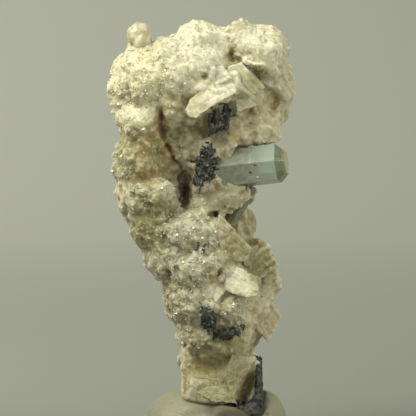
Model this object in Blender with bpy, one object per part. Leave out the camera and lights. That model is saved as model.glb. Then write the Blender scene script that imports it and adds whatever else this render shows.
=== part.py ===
"""An aquamarine crystal on its feldspar matrix, standing in a lump of mounting putty.

The specimen is seen from the front, which faces -Y. X runs to the right and Z up. The origin is the
middle of the putty's flat underside. Sizes in the tables are millimetres, angles are degrees.
A lean turns a shape clockwise as seen from the front, a turn swings it about the upright axis
and a nod tips its top towards the back.
"""

import math
from collections import namedtuple

import bmesh
import bpy
from mathutils import Matrix, Vector, noise

MM = 0.001

# Clearance between neighbouring pieces.
GAP = 0.32
# Grain of the joined matrix before it is thinned, and the share of its faces that is kept.
JOIN_GRAIN = 0.75
KEPT_SHARE = 0.125
# How far noise pushes the surface of a rounded shape in or out, as a share of its size.
LUMP_ROUGHNESS = 0.09
DENT_ROUGHNESS = 0.12
# Corner cut of a crystal block, as a share of its size.
CHAMFER = 0.07

# The main crystal: a six-sided prism with a bevelled end, growing out to the right.
AQUA_TIP = Vector((15.1, -6.6, 57.0))
AQUA_AXIS = Vector((0.972, -0.2, 0.12)).normalized()
AQUA_RADIUS = 4.2
AQUA_LENGTH = 14.6
AQUA_BEVEL_LENGTH = 1.7
AQUA_END_RADIUS = 2.6
AQUA_ROLL = 11.0

# The grey beryl below it, mostly buried, pointing up to the right.
SIDE_TIP = Vector((8.5, -1.6, 52.0))
SIDE_AXIS = Vector((0.5, 0.1, 0.86)).normalized()
SIDE_RADIUS = 1.25
SIDE_LENGTH = 9.0
SIDE_BEVEL_LENGTH = 0.4
SIDE_END_RADIUS = 0.9
SIDE_ROLL = 0.0

# The putty: a pressed lump with a flat underside. Its top leans to the right and sinks at the front.
PUTTY_HALF_WIDTH = 14.4
PUTTY_HALF_DEPTH = 11.4
PUTTY_HEIGHT = 11.9
PUTTY_BELLY = 3.0
PUTTY_FLATNESS = 3.2
PUTTY_ROUNDNESS = 0.385
PUTTY_RINGS = 10
PUTTY_SIDES = 36
PUTTY_CROWN_SHARE = 0.14
PUTTY_LEAN = 2.2
PUTTY_FRONT_SINK = 0.42
PUTTY_WOBBLE = 0.55
# The foot's print in the putty: its clearance, its grain and the share of its faces that is kept.
PRINT_CLEARANCE = 0.6
PRINT_GRAIN = 0.45
PRINT_KEPT_SHARE = 0.1

Lump = namedtuple("Lump", "x y z wide deep high lean", defaults=(0.0,))
Block = namedtuple(
    "Block", "x y z wide deep high lean turn nod skew", defaults=(0.0, 0.0, 0.0, 0.0)
)

# Rounded masses of the matrix: centre and half sizes.
LUMPS = (
    # crown, left to right
    Lump(-12.6, -0.4, 73.6, 7.0, 10.8, 7.0),
    Lump(-17.3, -2.6, 71.2, 3.1, 5.0, 2.8),
    Lump(-16.8, -1.6, 67.6, 2.9, 4.6, 2.4),
    Lump(-14.4, -2.0, 77.4, 3.2, 4.8, 3.0),
    Lump(-8.6, -2.0, 78.4, 4.2, 6.8, 3.2),
    Lump(-10.0, 5.0, 74.0, 6.0, 6.8, 6.4),
    Lump(-7.4, -2.8, 73.2, 5.6, 8.4, 6.4),
    Lump(-7.6, -4.0, 68.6, 5.2, 6.0, 4.8),
    Lump(-3.2, 1.0, 75.4, 8.4, 11.4, 7.0),
    Lump(-1.2, -5.0, 72.2, 6.6, 5.8, 4.4),
    Lump(-2.6, -0.8, 80.6, 4.3, 7.0, 4.2),
    Lump(1.6, 1.4, 80.0, 3.0, 7.0, 3.8),
    Lump(5.9, 0.4, 80.8, 3.0, 6.2, 4.5),
    Lump(10.8, 1.2, 79.2, 4.7, 7.8, 4.8),
    Lump(8.0, 3.4, 75.2, 7.2, 9.4, 7.0),
    Lump(13.2, 3.4, 71.0, 3.8, 7.0, 6.6),
    Lump(11.6, 3.6, 66.6, 3.6, 6.8, 3.8),
    # middle and waist
    Lump(-3.4, 2.8, 67.4, 8.6, 9.4, 7.0),
    Lump(-1.6, 1.2, 66.4, 8.0, 7.8, 5.0),
    Lump(-2.0, 3.0, 58.6, 7.8, 8.4, 8.0),
    Lump(-2.0, 2.6, 50.4, 8.4, 8.2, 7.0),
    Lump(2.0, -3.2, 50.0, 6.2, 4.6, 3.2, -8.0),
    Lump(2.2, -4.4, 60.8, 4.2, 4.4, 2.4, -6.0),
    Lump(0.0, -4.6, 55.6, 2.9, 4.4, 4.8),
    # left column, top to bottom
    Lump(-13.5, -2.6, 64.0, 4.9, 7.2, 6.4),
    Lump(-14.6, -3.0, 56.6, 4.8, 7.2, 5.8),
    Lump(-13.6, -2.4, 50.4, 5.2, 7.2, 5.8),
    Lump(-11.4, -1.8, 44.6, 4.9, 6.8, 5.4),
    Lump(-8.5, -0.8, 38.6, 4.9, 7.2, 6.0),
    Lump(-11.0, -7.6, 51.2, 3.6, 3.0, 2.5, -6.0),
    Lump(-9.0, 3.6, 58.0, 6.0, 7.6, 9.4),
    Lump(-8.6, 3.4, 47.4, 5.4, 6.8, 7.6),
    # lobe showing behind the waist
    Lump(7.3, 6.6, 44.0, 2.0, 3.2, 3.3),
    Lump(4.0, 4.6, 43.6, 4.6, 5.2, 6.0),
    # lower mass
    Lump(-3.4, -3.2, 43.0, 7.4, 7.8, 5.4),
    Lump(-1.6, -1.6, 36.4, 8.8, 9.6, 7.2),
    Lump(-0.6, -0.8, 29.4, 8.9, 9.2, 7.0),
    Lump(1.5, 0.0, 22.6, 8.4, 8.0, 6.0),
    Lump(4.6, -6.6, 27.8, 3.4, 3.6, 4.0),
    Lump(9.0, 0.6, 37.8, 3.1, 4.4, 3.6, 20.0),
    Lump(10.4, 0.8, 34.6, 3.2, 4.4, 3.4, 20.0),
    Lump(8.6, 0.4, 28.6, 4.0, 5.6, 4.0),
)

# Blocky feldspar crystals: centre, full sizes and how each lies.
BLOCKS = (
    # bright shelf across the front, right end up
    Block(0.3, -7.4, 68.6, 11.0, 8.6, 2.3, -30.0, 6.0, -8.0, 0.15),
    # stepped crystals to its right
    Block(6.6, -5.6, 72.4, 7.2, 8.0, 4.4, 28.0, -14.0, -10.0, 0.25),
    Block(7.2, -4.6, 68.4, 5.2, 7.0, 3.4, -10.0, -8.0, -6.0, 0.3),
    # tan block over the main crystal
    Block(8.0, -1.8, 63.4, 11.4, 9.2, 6.0, -7.0, 10.0, 0.0, 0.12),
    # steep plate below the waist, corner up
    Block(2.2, -6.8, 40.2, 9.0, 5.6, 9.0, 45.0, -6.0, 0.0, 0.0),
    # right-hand crystals of the lower mass, top to bottom
    Block(11.0, 0.2, 32.4, 5.4, 6.4, 4.6, -18.0, 14.0, 0.0, 0.1),
    Block(5.8, -7.2, 33.2, 7.2, 5.4, 5.8, 18.0, -8.0, 6.0, 0.2),
    Block(10.0, -1.0, 26.0, 5.8, 7.0, 5.6, 47.0, 10.0, 0.0, 0.1),
    # broken faces on the back
    Block(-7.0, 8.4, 70.0, 9.0, 7.0, 8.0, 22.0, 16.0, 8.0, 0.2),
    Block(4.4, 8.6, 62.0, 8.0, 6.0, 9.0, -18.0, -12.0, 0.0, 0.2),
    Block(-3.0, 8.6, 54.0, 6.4, 5.0, 6.0, 34.0, 8.0, -6.0, 0.2),
    Block(-4.0, 6.2, 34.0, 9.0, 5.6, 8.0, 30.0, 14.0, -6.0, 0.2),
    Block(3.0, 6.0, 26.0, 7.0, 5.0, 6.0, -24.0, -10.0, 0.0, 0.2),
)

# The foot, which stands in the putty.
FOOT = (
    Block(2.0, 0.6, 12.8, 14.4, 11.0, 10.6, 5.0, 0.0, 0.0, 0.05),
    Block(5.4, -5.2, 15.0, 4.6, 4.4, 8.0, 28.0, -8.0, 0.0, 0.15),
    Block(0.4, -4.6, 11.2, 10.4, 4.8, 5.4, 9.0, 0.0, 0.0, 0.1),
    Block(-5.5, -1.6, 14.2, 1.5, 6.4, 9.0, 3.0),
)
FOOT_CORE = Lump(2.0, 0.4, 15.8, 7.2, 6.4, 6.6)

# Hollows cut out of the matrix.
SLOTS = (
    # deep slot beside the waist
    Block(-5.0, -7.0, 51.4, 2.5, 14.0, 8.4),
    # crevice running down to it along the left column
    Block(-9.2, -10.0, 64.4, 0.9, 6.4, 7.8, -6.0),
    Block(-7.3, -8.4, 59.0, 1.1, 6.0, 5.4, -38.0),
)
DENTS = (
    # shadowed hollow between the crown and the stepped crystals
    Lump(9.8, -8.0, 73.6, 4.0, 4.6, 3.0, 35.0),
    Lump(12.6, -6.0, 68.8, 2.2, 4.6, 3.0),
    # recess under the shelf
    Lump(-0.4, -9.4, 63.0, 4.4, 3.6, 3.4),
    # hole beside the steep plate
    Lump(0.6, -8.8, 46.7, 1.0, 3.6, 0.9),
)

# Black tourmaline set in the matrix. Where a piece has several shapes they are one solid.
SCHORL = {
    "schorl_under_shelf": (Block(1.7, -5.8, 65.9, 4.9, 3.6, 5.0, -15.0, 8.0, 0.0, 0.25),),
    "schorl_beside_crystal": (
        Lump(-0.5, -7.4, 57.4, 2.4, 2.0, 3.0, 24.0),
        Lump(-1.6, -7.2, 54.0, 1.7, 1.9, 3.2, 10.0),
    ),
    "schorl_lower": (Lump(-0.3, -9.4, 26.6, 1.7, 1.7, 3.2, -12.0),),
    "schorl_lower_streak": (Lump(3.8, -8.7, 23.0, 2.5, 1.5, 0.95, -14.0),),
    "schorl_foot": (
        Block(9.7, -2.8, 12.7, 1.4, 8.0, 10.0, -2.0),
        Block(6.4, -5.6, 7.6, 6.6, 4.0, 1.2, 7.0),
    ),
}
SCHORL_ROUGHNESS = 0.16

KNOB = Lump(-14.0, -2.4, 82.0, 2.55, 2.5, 2.65)
KNOB_ROUGHNESS = 0.12


def place(shape):
    """Matrix that puts a unit shape where a table row says, in metres."""
    turn = Matrix.Rotation(math.radians(getattr(shape, "turn", 0.0)), 4, "Z")
    nod = Matrix.Rotation(math.radians(getattr(shape, "nod", 0.0)), 4, "X")
    lean = Matrix.Rotation(math.radians(shape.lean), 4, "Y")
    size = Matrix.Diagonal((shape.wide * MM, shape.deep * MM, shape.high * MM, 1.0))
    skew = Matrix.Identity(4)
    skew[0][2] = getattr(shape, "skew", 0.0)
    spot = Matrix.Translation(Vector((shape.x, shape.y, shape.z)) * MM)
    return spot @ turn @ lean @ nod @ skew @ size


def add_lump(bm, lump, roughness=LUMP_ROUGHNESS):
    """A boulder: a ball pushed in and out by smooth noise."""
    made = bmesh.ops.create_icosphere(bm, subdivisions=3, radius=1.0)["verts"]
    seat = place(lump)
    shift = Vector((lump.x, lump.y, lump.z))
    for vert in made:
        wave = noise.noise(vert.co * 1.9 + shift)
        vert.co = seat @ (vert.co * (1.0 + roughness * wave))


def add_block(bm, block, chamfer=CHAMFER):
    """A crystal block: a skewed box with its edges knocked off."""
    made = bmesh.ops.create_cube(bm, size=1.0)["verts"]
    edges = list({edge for vert in made for edge in vert.link_edges})
    if chamfer:
        made = bmesh.ops.bevel(
            bm,
            geom=made + edges,
            offset=chamfer,
            segments=1,
            profile=0.5,
            affect="EDGES",
            material=-1,
        )["verts"]
    seat = place(block)
    for vert in made:
        vert.co = seat @ vert.co


def make_object(name, bm):
    """A mesh object from a bmesh, with its faces pointing out."""
    bmesh.ops.recalc_face_normals(bm, faces=bm.faces)
    mesh = bpy.data.meshes.new(name)
    bm.to_mesh(mesh)
    bm.free()
    obj = bpy.data.objects.new(name, mesh)
    bpy.context.scene.collection.objects.link(obj)
    return obj


def helper(name, bm):
    """An object that only cuts or guides another one."""
    obj = make_object(name, bm)
    obj.hide_render = True
    obj.display_type = "WIRE"
    return obj


def apply_modifiers(obj):
    """Replaces the object's mesh with the mesh that its modifiers make."""
    graph = bpy.context.evaluated_depsgraph_get()
    mesh = bpy.data.meshes.new_from_object(obj.evaluated_get(graph))
    obj.modifiers.clear()
    obj.data = mesh


def keep_largest_shell(obj):
    """Drops sealed bubbles and loose crumbs, leaving the one closed outer skin."""
    bm = bmesh.new()
    bm.from_mesh(obj.data)
    unseen = set(bm.verts)
    shells = []
    while unseen:
        start = unseen.pop()
        shell, front = {start}, [start]
        while front:
            for edge in front.pop().link_edges:
                for vert in edge.verts:
                    if vert in unseen:
                        unseen.discard(vert)
                        shell.add(vert)
                        front.append(vert)
        shells.append(shell)
    shells.sort(key=len)
    extra = [vert for shell in shells[:-1] for vert in shell]
    bmesh.ops.delete(bm, geom=extra, context="VERTS")
    bm.to_mesh(obj.data)
    bm.free()


def subtract(obj, cutter):
    cut = obj.modifiers.new("cut " + cutter.name, "BOOLEAN")
    cut.operation = "DIFFERENCE"
    cut.solver = "EXACT"
    cut.object = cutter


def grown(shape, clearance=GAP):
    """The same shape, larger all round by the clearance."""
    by = clearance if isinstance(shape, Lump) else 2.0 * clearance
    return shape._replace(wide=shape.wide + by, deep=shape.deep + by, high=shape.high + by)


def crystal_mesh(tip, axis, radius, length, bevel_length, end_radius, roll, grow=0.0):
    """A six-sided prism ending in a narrower flat face behind a sloping rim."""
    bm = bmesh.new()
    rings = (
        (-length - grow, radius + grow),
        (-bevel_length, radius + grow),
        (grow, end_radius + grow),
    )
    face = bmesh.ops.create_circle(bm, segments=6, radius=1.0, cap_ends=True)
    edges = list({edge for vert in face["verts"] for edge in vert.link_edges})
    ring = face["verts"]
    for vert in ring:
        vert.co = Vector((vert.co.x * rings[0][1], vert.co.y * rings[0][1], rings[0][0]))
    for along, wide in rings[1:]:
        made = bmesh.ops.extrude_edge_only(bm, edges=edges)["geom"]
        ring = [part for part in made if isinstance(part, bmesh.types.BMVert)]
        edges = [part for part in made if isinstance(part, bmesh.types.BMEdge)]
        edges = [edge for edge in edges if all(vert in ring for vert in edge.verts)]
        for vert in ring:
            flat = Vector((vert.co.x, vert.co.y, 0.0)).normalized() * wide
            vert.co = Vector((flat.x, flat.y, along))
    bmesh.ops.contextual_create(bm, geom=edges)
    side = Vector((0.0, -1.0, 0.0))
    out = (side - axis * side.dot(axis)).normalized()
    frame = Matrix((axis.cross(out), out, axis)).transposed().to_4x4()
    spin = Matrix.Rotation(math.radians(roll), 4, "Z")
    seat = Matrix.Translation(tip * MM) @ frame @ spin @ Matrix.Scale(MM, 4)
    bmesh.ops.transform(bm, matrix=seat, verts=bm.verts)
    return bm


def aquamarine_mesh(grow=0.0):
    return crystal_mesh(
        AQUA_TIP,
        AQUA_AXIS,
        AQUA_RADIUS,
        AQUA_LENGTH,
        AQUA_BEVEL_LENGTH,
        AQUA_END_RADIUS,
        AQUA_ROLL,
        grow,
    )


def side_beryl_mesh(grow=0.0):
    return crystal_mesh(
        SIDE_TIP,
        SIDE_AXIS,
        SIDE_RADIUS,
        SIDE_LENGTH,
        SIDE_BEVEL_LENGTH,
        SIDE_END_RADIUS,
        SIDE_ROLL,
        grow,
    )


def shape_mesh(shape, roughness=0.0, chamfer=0.0):
    """One table row as a mesh of its own."""
    bm = bmesh.new()
    if isinstance(shape, Lump):
        add_lump(bm, shape, roughness)
    else:
        add_block(bm, shape, chamfer)
    return bm


def make_matrix():
    """The pale rock: all its masses and blocks fused, hollowed, then thinned to a light mesh."""
    bm = bmesh.new()
    for lump in LUMPS + (FOOT_CORE,):
        add_lump(bm, lump)
    for block in BLOCKS + FOOT:
        add_block(bm, block)
    rock = make_object("feldspar_matrix", bm)
    fuse = rock.modifiers.new("fuse", "REMESH")
    fuse.mode = "VOXEL"
    fuse.voxel_size = JOIN_GRAIN * MM
    apply_modifiers(rock)
    keep_largest_shell(rock)
    for count, slot in enumerate(SLOTS):
        subtract(rock, helper(f"slot cutter {count}", shape_mesh(slot)))
    for count, dent in enumerate(DENTS):
        subtract(rock, helper(f"dent cutter {count}", shape_mesh(dent, DENT_ROUGHNESS)))
    settle = rock.modifiers.new("even out", "REMESH")
    settle.mode = "VOXEL"
    settle.voxel_size = JOIN_GRAIN * MM
    thin = rock.modifiers.new("thin", "DECIMATE")
    thin.ratio = KEPT_SHARE
    apply_modifiers(rock)
    keep_largest_shell(rock)
    return rock


def make_schorl(name, shapes):
    """A black tourmaline: its shapes joined, with room left for the aquamarine."""
    body = make_object(name, shape_mesh(shapes[0], SCHORL_ROUGHNESS, CHAMFER))
    for shape in shapes[1:]:
        more = helper(name + " more", shape_mesh(shape, SCHORL_ROUGHNESS, CHAMFER))
        join = body.modifiers.new("join", "BOOLEAN")
        join.operation = "UNION"
        join.solver = "EXACT"
        join.object = more
    subtract(body, helper(name + " clearance", aquamarine_mesh(GAP)))
    apply_modifiers(body)
    return body


def putty_ring(rise, bearing):
    """A point of the putty's skin: rise runs from 0 at the underside to 1 at the crown."""
    climb = math.sin(rise * math.pi / 2.0)
    height = PUTTY_HEIGHT * climb
    if height < PUTTY_BELLY:
        spread = 0.9 + 0.1 * math.sin(height / PUTTY_BELLY * math.pi / 2.0)
    else:
        over = (height - PUTTY_BELLY) / (PUTTY_HEIGHT - PUTTY_BELLY)
        spread = max(1.0 - over**PUTTY_FLATNESS, 0.0) ** PUTTY_ROUNDNESS
        spread = max(spread, PUTTY_CROWN_SHARE)
    x = PUTTY_HALF_WIDTH * math.cos(bearing) * spread
    y = PUTTY_HALF_DEPTH * math.sin(bearing) * spread
    wave = noise.noise(Vector((x, y, height)) * 0.17)
    swell = 1.0 + PUTTY_WOBBLE * wave / PUTTY_HALF_DEPTH
    sink = 1.0 + PUTTY_FRONT_SINK * min(y, 0.0) / PUTTY_HALF_DEPTH
    return Vector((x * swell + PUTTY_LEAN * climb, y * swell, height * sink)) * MM


def make_putty_mesh():
    """A pressed lump: rings from the flat underside up over the belly to a closed crown."""
    bm = bmesh.new()
    made = bmesh.ops.create_circle(bm, segments=PUTTY_SIDES, radius=1.0, cap_ends=True)
    ring = made["verts"]
    edges = list({edge for vert in ring for edge in vert.link_edges})
    bearings = [math.atan2(vert.co.y, vert.co.x) for vert in ring]
    for vert, bearing in zip(ring, bearings):
        vert.co = putty_ring(0.0, bearing)
    for step in range(1, PUTTY_RINGS + 1):
        made = bmesh.ops.extrude_edge_only(bm, edges=edges)["geom"]
        ring = [part for part in made if isinstance(part, bmesh.types.BMVert)]
        edges = [part for part in made if isinstance(part, bmesh.types.BMEdge)]
        edges = [edge for edge in edges if all(vert in ring for vert in edge.verts)]
        for vert in ring:
            shift = PUTTY_LEAN * math.sin((step - 1) / PUTTY_RINGS * math.pi / 2.0) * MM
            bearing = math.atan2(vert.co.y / PUTTY_HALF_DEPTH, (vert.co.x - shift) / PUTTY_HALF_WIDTH)
            vert.co = putty_ring(step / PUTTY_RINGS, bearing)
    bmesh.ops.contextual_create(bm, geom=edges)
    return bm


def make_putty():
    """The putty lump, with the print of the specimen's foot pressed into it."""
    putty = make_object("mounting_putty", make_putty_mesh())
    bm = bmesh.new()
    for block in FOOT + SCHORL["schorl_foot"]:
        add_block(bm, grown(block, PRINT_CLEARANCE), 0.0)
    add_lump(bm, grown(FOOT_CORE, PRINT_CLEARANCE))
    foot_print = helper("print of the foot", bm)
    fuse = foot_print.modifiers.new("fuse", "REMESH")
    fuse.mode = "VOXEL"
    fuse.voxel_size = PRINT_GRAIN * MM
    thin = foot_print.modifiers.new("thin", "DECIMATE")
    thin.ratio = PRINT_KEPT_SHARE
    apply_modifiers(foot_print)
    keep_largest_shell(foot_print)
    subtract(putty, foot_print)
    apply_modifiers(putty)
    keep_largest_shell(putty)
    return putty


def paint(obj, name, colour, roughness, transmission=0.0, ior=1.5):
    """Gives the object its own plain material."""
    material = bpy.data.materials.new(name)
    material.use_nodes = True
    shader = material.node_tree.nodes["Principled BSDF"]
    shader.inputs["Base Color"].default_value = (*colour, 1.0)
    shader.inputs["Roughness"].default_value = roughness
    shader.inputs["Metallic"].default_value = 0.0
    shader.inputs["Transmission Weight"].default_value = transmission
    shader.inputs["IOR"].default_value = ior
    material.diffuse_color = (*colour, 1.0)
    obj.data.materials.clear()
    obj.data.materials.append(material)


def main():
    for obj in list(bpy.data.objects):
        bpy.data.objects.remove(obj)

    rock = make_matrix()
    aquamarine = make_object("aquamarine_crystal", aquamarine_mesh())
    side_beryl = make_object("side_beryl_crystal", side_beryl_mesh())
    subtract(rock, helper("aquamarine socket", aquamarine_mesh(GAP)))
    subtract(rock, helper("side beryl socket", side_beryl_mesh(GAP)))
    subtract(side_beryl, helper("aquamarine clearance", aquamarine_mesh(GAP)))

    schorl = {}
    for name, shapes in SCHORL.items():
        schorl[name] = make_schorl(name, shapes)
        for shape in shapes:
            socket = shape_mesh(grown(shape), SCHORL_ROUGHNESS)
            subtract(rock, helper(name + " socket", socket))

    knob = make_object("hyalite_knob", shape_mesh(KNOB, KNOB_ROUGHNESS))
    subtract(rock, helper("knob seat", shape_mesh(grown(KNOB), KNOB_ROUGHNESS)))

    apply_modifiers(rock)
    keep_largest_shell(rock)
    putty = make_putty()

    paint(rock, "feldspar", (0.72, 0.67, 0.54), 0.7)
    paint(aquamarine, "aquamarine", (0.66, 0.80, 0.74), 0.06, 0.9, 1.577)
    paint(side_beryl, "grey beryl", (0.42, 0.43, 0.36), 0.25, 0.3, 1.577)
    paint(knob, "hyalite", (0.82, 0.76, 0.58), 0.2, 0.4, 1.45)
    paint(putty, "putty", (0.60, 0.57, 0.45), 0.75)
    for obj in schorl.values():
        paint(obj, "schorl", (0.02, 0.022, 0.026), 0.3)


main()
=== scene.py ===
"""Looks of an aquamarine specimen: a pale beryl prism on feldspar rock, standing in mounting putty.

The front faces -Y, X runs to the right and Z up. Tables are in millimetres and degrees.
A lean turns a shape clockwise as seen from the front.
"""

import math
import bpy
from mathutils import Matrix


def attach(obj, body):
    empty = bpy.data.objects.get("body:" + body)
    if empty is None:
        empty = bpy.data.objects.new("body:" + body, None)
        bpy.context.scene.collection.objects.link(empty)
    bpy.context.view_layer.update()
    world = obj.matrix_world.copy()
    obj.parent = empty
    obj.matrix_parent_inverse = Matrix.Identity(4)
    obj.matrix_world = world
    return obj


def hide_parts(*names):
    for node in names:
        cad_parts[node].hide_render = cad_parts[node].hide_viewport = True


bl_info = {
    "name": "Aquamarine specimen",
    "version": (1, 0, 0),
    "blender": (4, 5, 0),
    "location": "3D View > Sidebar > Specimen",
    "description": "Builds the rock, crystals, crust, putty and stage around the packed model",
    "category": "Object",
}

from collections import namedtuple

import bmesh
import bpy
import numpy as np
from bpy.props import FloatProperty, FloatVectorProperty, IntProperty, PointerProperty
from mathutils import Matrix, Vector, noise
from mathutils.bvhtree import BVHTree

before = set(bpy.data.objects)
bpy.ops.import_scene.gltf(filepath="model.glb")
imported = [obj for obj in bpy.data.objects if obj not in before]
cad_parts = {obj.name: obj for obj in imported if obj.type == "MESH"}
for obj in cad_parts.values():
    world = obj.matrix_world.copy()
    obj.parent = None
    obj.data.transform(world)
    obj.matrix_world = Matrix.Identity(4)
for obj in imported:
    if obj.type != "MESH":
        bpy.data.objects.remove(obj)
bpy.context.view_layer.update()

MM = 0.001
BODY = "root"

# A ball and a box: the middle, the size, and how they are turned.
Lump = namedtuple("Lump", "x y z wide deep high lean", defaults=(0.0,))
Block = namedtuple(
    "Block", "x y z wide deep high lean turn nod skew", defaults=(0.0, 0.0, 0.0, 0.0)
)
# A painted area of the rock: an ellipse seen from the front, and how far back it reaches.
Patch = namedtuple("Patch", "x z wide high lean amount y deep", defaults=(0.0, 1.0, -9.0, 11.0))
# What makes a patch go right through to the back.
THROUGH = {"y": 0.0, "deep": 60.0}
# A cleavage face: how far it stands out, how deep its block is, how it slopes, the way across
# its steps in degrees, and its outline.
Facet = namedtuple("Facet", "out deep slope_x slope_z across outline")
# Small shapes scattered over a surface: the shape, the attribute that says where, how many on
# a square millimetre, the smallest and the largest size, how far they lean, and the seed.
Growth = namedtuple("Growth", "grain where per_mm2 smallest largest lean_most seed")
# A six-sided prism: its tip and the way it points, its radius and length, the length of its
# sloping rim, the radius of its end face, and its roll.
Crystal = namedtuple("Crystal", "tip axis radius length rim end_radius roll")
# A cloudy sheet in the aquamarine: how far from the tip and off the axis it lies.
Veil = namedtuple("Veil", "along across up size lean")

# Rounded filling round the crystals' roots, so that no socket shows.
ROOT_LUMPS = (
    Lump(2.0, -4.2, 57.4, 3.4, 3.6, 3.6),
    Lump(1.6, -3.6, 65.6, 3.6, 2.8, 3.8),
    Lump(-0.6, -5.2, 57.4, 2.6, 2.6, 3.4, 24.0),
    Lump(-1.6, -5.2, 54.0, 2.2, 2.4, 3.4, 10.0),
    Lump(-0.3, -7.4, 26.6, 2.0, 2.0, 3.4, -12.0),
    Lump(3.8, -7.0, 23.0, 2.8, 2.0, 1.3, -14.0),
    Lump(-14.0, -2.4, 79.6, 2.5, 2.6, 1.8),
    Lump(8.0, -1.2, 50.4, 1.4, 1.6, 2.0, 30.0),
    # over the aquamarine's root
    Lump(1.0, -6.9, 53.8, 1.5, 1.7, 1.4),
    Lump(1.2, -7.0, 59.4, 1.6, 1.7, 1.2),
    Lump(4.0, -6.0, 51.9, 3.2, 1.8, 1.0),
    # between the foot and its black seam
    Block(8.3, -2.6, 12.8, 3.0, 8.0, 9.8, -2.0),
    # valleys of the lower mass
    Lump(-3.6, -8.6, 37.4, 3.0, 1.9, 1.6),
    Lump(-3.4, -7.2, 31.0, 3.4, 2.2, 1.8, -8.0),
    Lump(-6.4, -8.4, 43.6, 1.8, 1.8, 1.6),
    # tan block above the crystal
    Lump(6.4, -5.2, 62.6, 3.6, 2.4, 2.3, -6.0),
    Lump(10.4, -4.6, 63.0, 3.4, 2.4, 2.6, 0.0),
)

# Black tourmaline that widens the seam at the foot.
SEAM_LUMPS = (
    Lump(9.6, -4.8, 16.0, 0.8, 2.2, 2.2, -6.0),
    Lump(9.6, -5.0, 12.8, 0.9, 2.4, 2.6, 4.0),
    Lump(9.5, -5.2, 10.0, 1.1, 2.4, 2.4, 10.0),
    Lump(8.5, -5.4, 8.5, 2.0, 2.2, 1.2, -20.0),
    Lump(6.2, -5.2, 8.5, 1.6, 2.0, 0.7, 8.0),
)

# Putty pushed up against the foot.
PUTTY_FILLING = (
    Block(2.0, 0.6, 6.4, 15.4, 12.4, 6.0, 3.0, 0.0, 6.0),
    Lump(-3.8, -5.4, 6.6, 3.4, 3.0, 2.4),
    Lump(3.4, -7.2, 5.9, 4.6, 2.8, 3.0, 4.0),
    Lump(11.6, -1.4, 6.4, 1.8, 5.4, 3.6),
    Lump(-5.4, 0.6, 8.2, 2.6, 5.0, 3.0),
    Lump(2.0, 6.2, 8.6, 7.0, 2.6, 2.6),
)

# Thin ribs and flakes that stand out crisply.
CRISP_BLOCKS = (
    # curved flakes in the hollow
    Block(8.6, -5.8, 76.2, 4.6, 4.0, 0.5, 8.0, -6.0, -12.0, 0.2),
    Block(6.2, -5.0, 77.6, 3.0, 4.0, 0.5, 24.0, 0.0, -10.0, 0.2),
    # ribs of the right-hand lobe
    Block(9.0, -2.6, 38.6, 6.2, 4.6, 0.8, -35.0, 10.0, 0.0, 0.0),
    Block(9.6, -2.7, 37.4, 6.4, 4.6, 0.8, -35.0, 10.0, 0.0, 0.0),
    Block(10.2, -2.8, 36.2, 6.4, 4.6, 0.8, -34.0, 10.0, 0.0, 0.0),
    Block(10.9, -2.6, 35.0, 6.0, 4.6, 0.8, -33.0, 10.0, 0.0, 0.0),
)

# Cleavage faces. Slopes say how the face leans back to the right and upwards.
FACETS = {
    "shelf": Facet(0.5, 6.0, -0.05, 0.65, 118.0, (
        (-4.8, 67.4), (-4.0, 69.4), (-1.4, 71.4), (1.4, 73.0), (3.8, 73.6), (5.0, 72.4),
        (5.2, 70.9), (3.2, 69.8), (0.8, 68.4), (-1.2, 67.0), (-2.8, 65.9), (-4.2, 66.2),
    )),
    "cream_face": Facet(0.2, 4.0, -0.1, 0.3, 118.0, (
        (-0.2, 75.0), (2.4, 76.2), (4.4, 73.6), (-1.4, 71.0),
    )),
    "rhomb": Facet(1.5, 5.0, 0.15, 0.15, 40.0, (
        (3.4, 75.8), (6.2, 76.8), (10.6, 71.8), (7.6, 69.4), (5.0, 71.4),
    )),
    "rhomb_edge": Facet(1.6, 2.0, 0.1, 0.8, 40.0, (
        (5.0, 77.0), (6.6, 76.6), (10.9, 71.9), (10.4, 71.3), (6.0, 75.6),
    )),
    "spiky_plate": Facet(1.0, 3.0, 0.1, 0.35, 75.0, (
        (4.8, 69.4), (7.6, 69.8), (9.4, 68.2), (5.4, 67.0),
    )),
    "under_plate": Facet(0.7, 3.0, 0.2, 0.1, 75.0, (
        (5.2, 67.4), (8.2, 67.8), (6.0, 66.0), (5.0, 66.4),
    )),
    "steep_plate": Facet(0.3, 3.4, -0.12, -0.05, 50.0, (
        (1.9, 46.8), (8.2, 40.2), (7.4, 37.6), (3.0, 37.6), (0.8, 43.6),
    )),
    "grey_plate": Facet(0.1, 3.0, 0.6, 0.1, 60.0, (
        (6.4, 39.4), (9.6, 40.4), (10.4, 38.2), (8.0, 35.6), (6.6, 36.8),
    )),
    "white_block": Facet(0.7, 4.0, -0.2, 0.3, 60.0, (
        (3.0, 35.4), (4.6, 37.0), (9.4, 34.4), (9.6, 31.2), (7.4, 30.4), (2.8, 31.8),
    )),
    "white_tongue": Facet(0.6, 3.0, -0.1, 0.3, 60.0, (
        (2.4, 33.8), (3.0, 31.6), (1.2, 29.4), (-0.6, 31.8),
    )),
    "block_side": Facet(0.5, 3.0, 0.8, -0.1, 60.0, (
        (9.5, 31.2), (7.6, 30.4), (6.8, 27.0), (8.4, 27.8),
    )),
    "tan_block": Facet(0.2, 4.0, -0.1, 0.35, 30.0, (
        (9.4, 27.8), (12.0, 29.6), (14.2, 26.0), (11.6, 21.0), (9.2, 23.6),
    )),
    "cream_foot": Facet(0.25, 3.0, -0.1, 0.25, 75.0, (
        (-4.8, 13.8), (-3.0, 14.6), (3.4, 13.8), (4.2, 10.8), (5.4, 9.2), (1.0, 9.4), (-3.4, 11.4),
    )),
    "foot_rhomb": Facet(0.5, 3.0, -0.05, 0.05, 140.0, (
        (4.4, 18.8), (9.2, 18.4), (6.2, 13.2), (4.5, 10.0), (2.6, 14.8),
    )),
}
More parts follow.
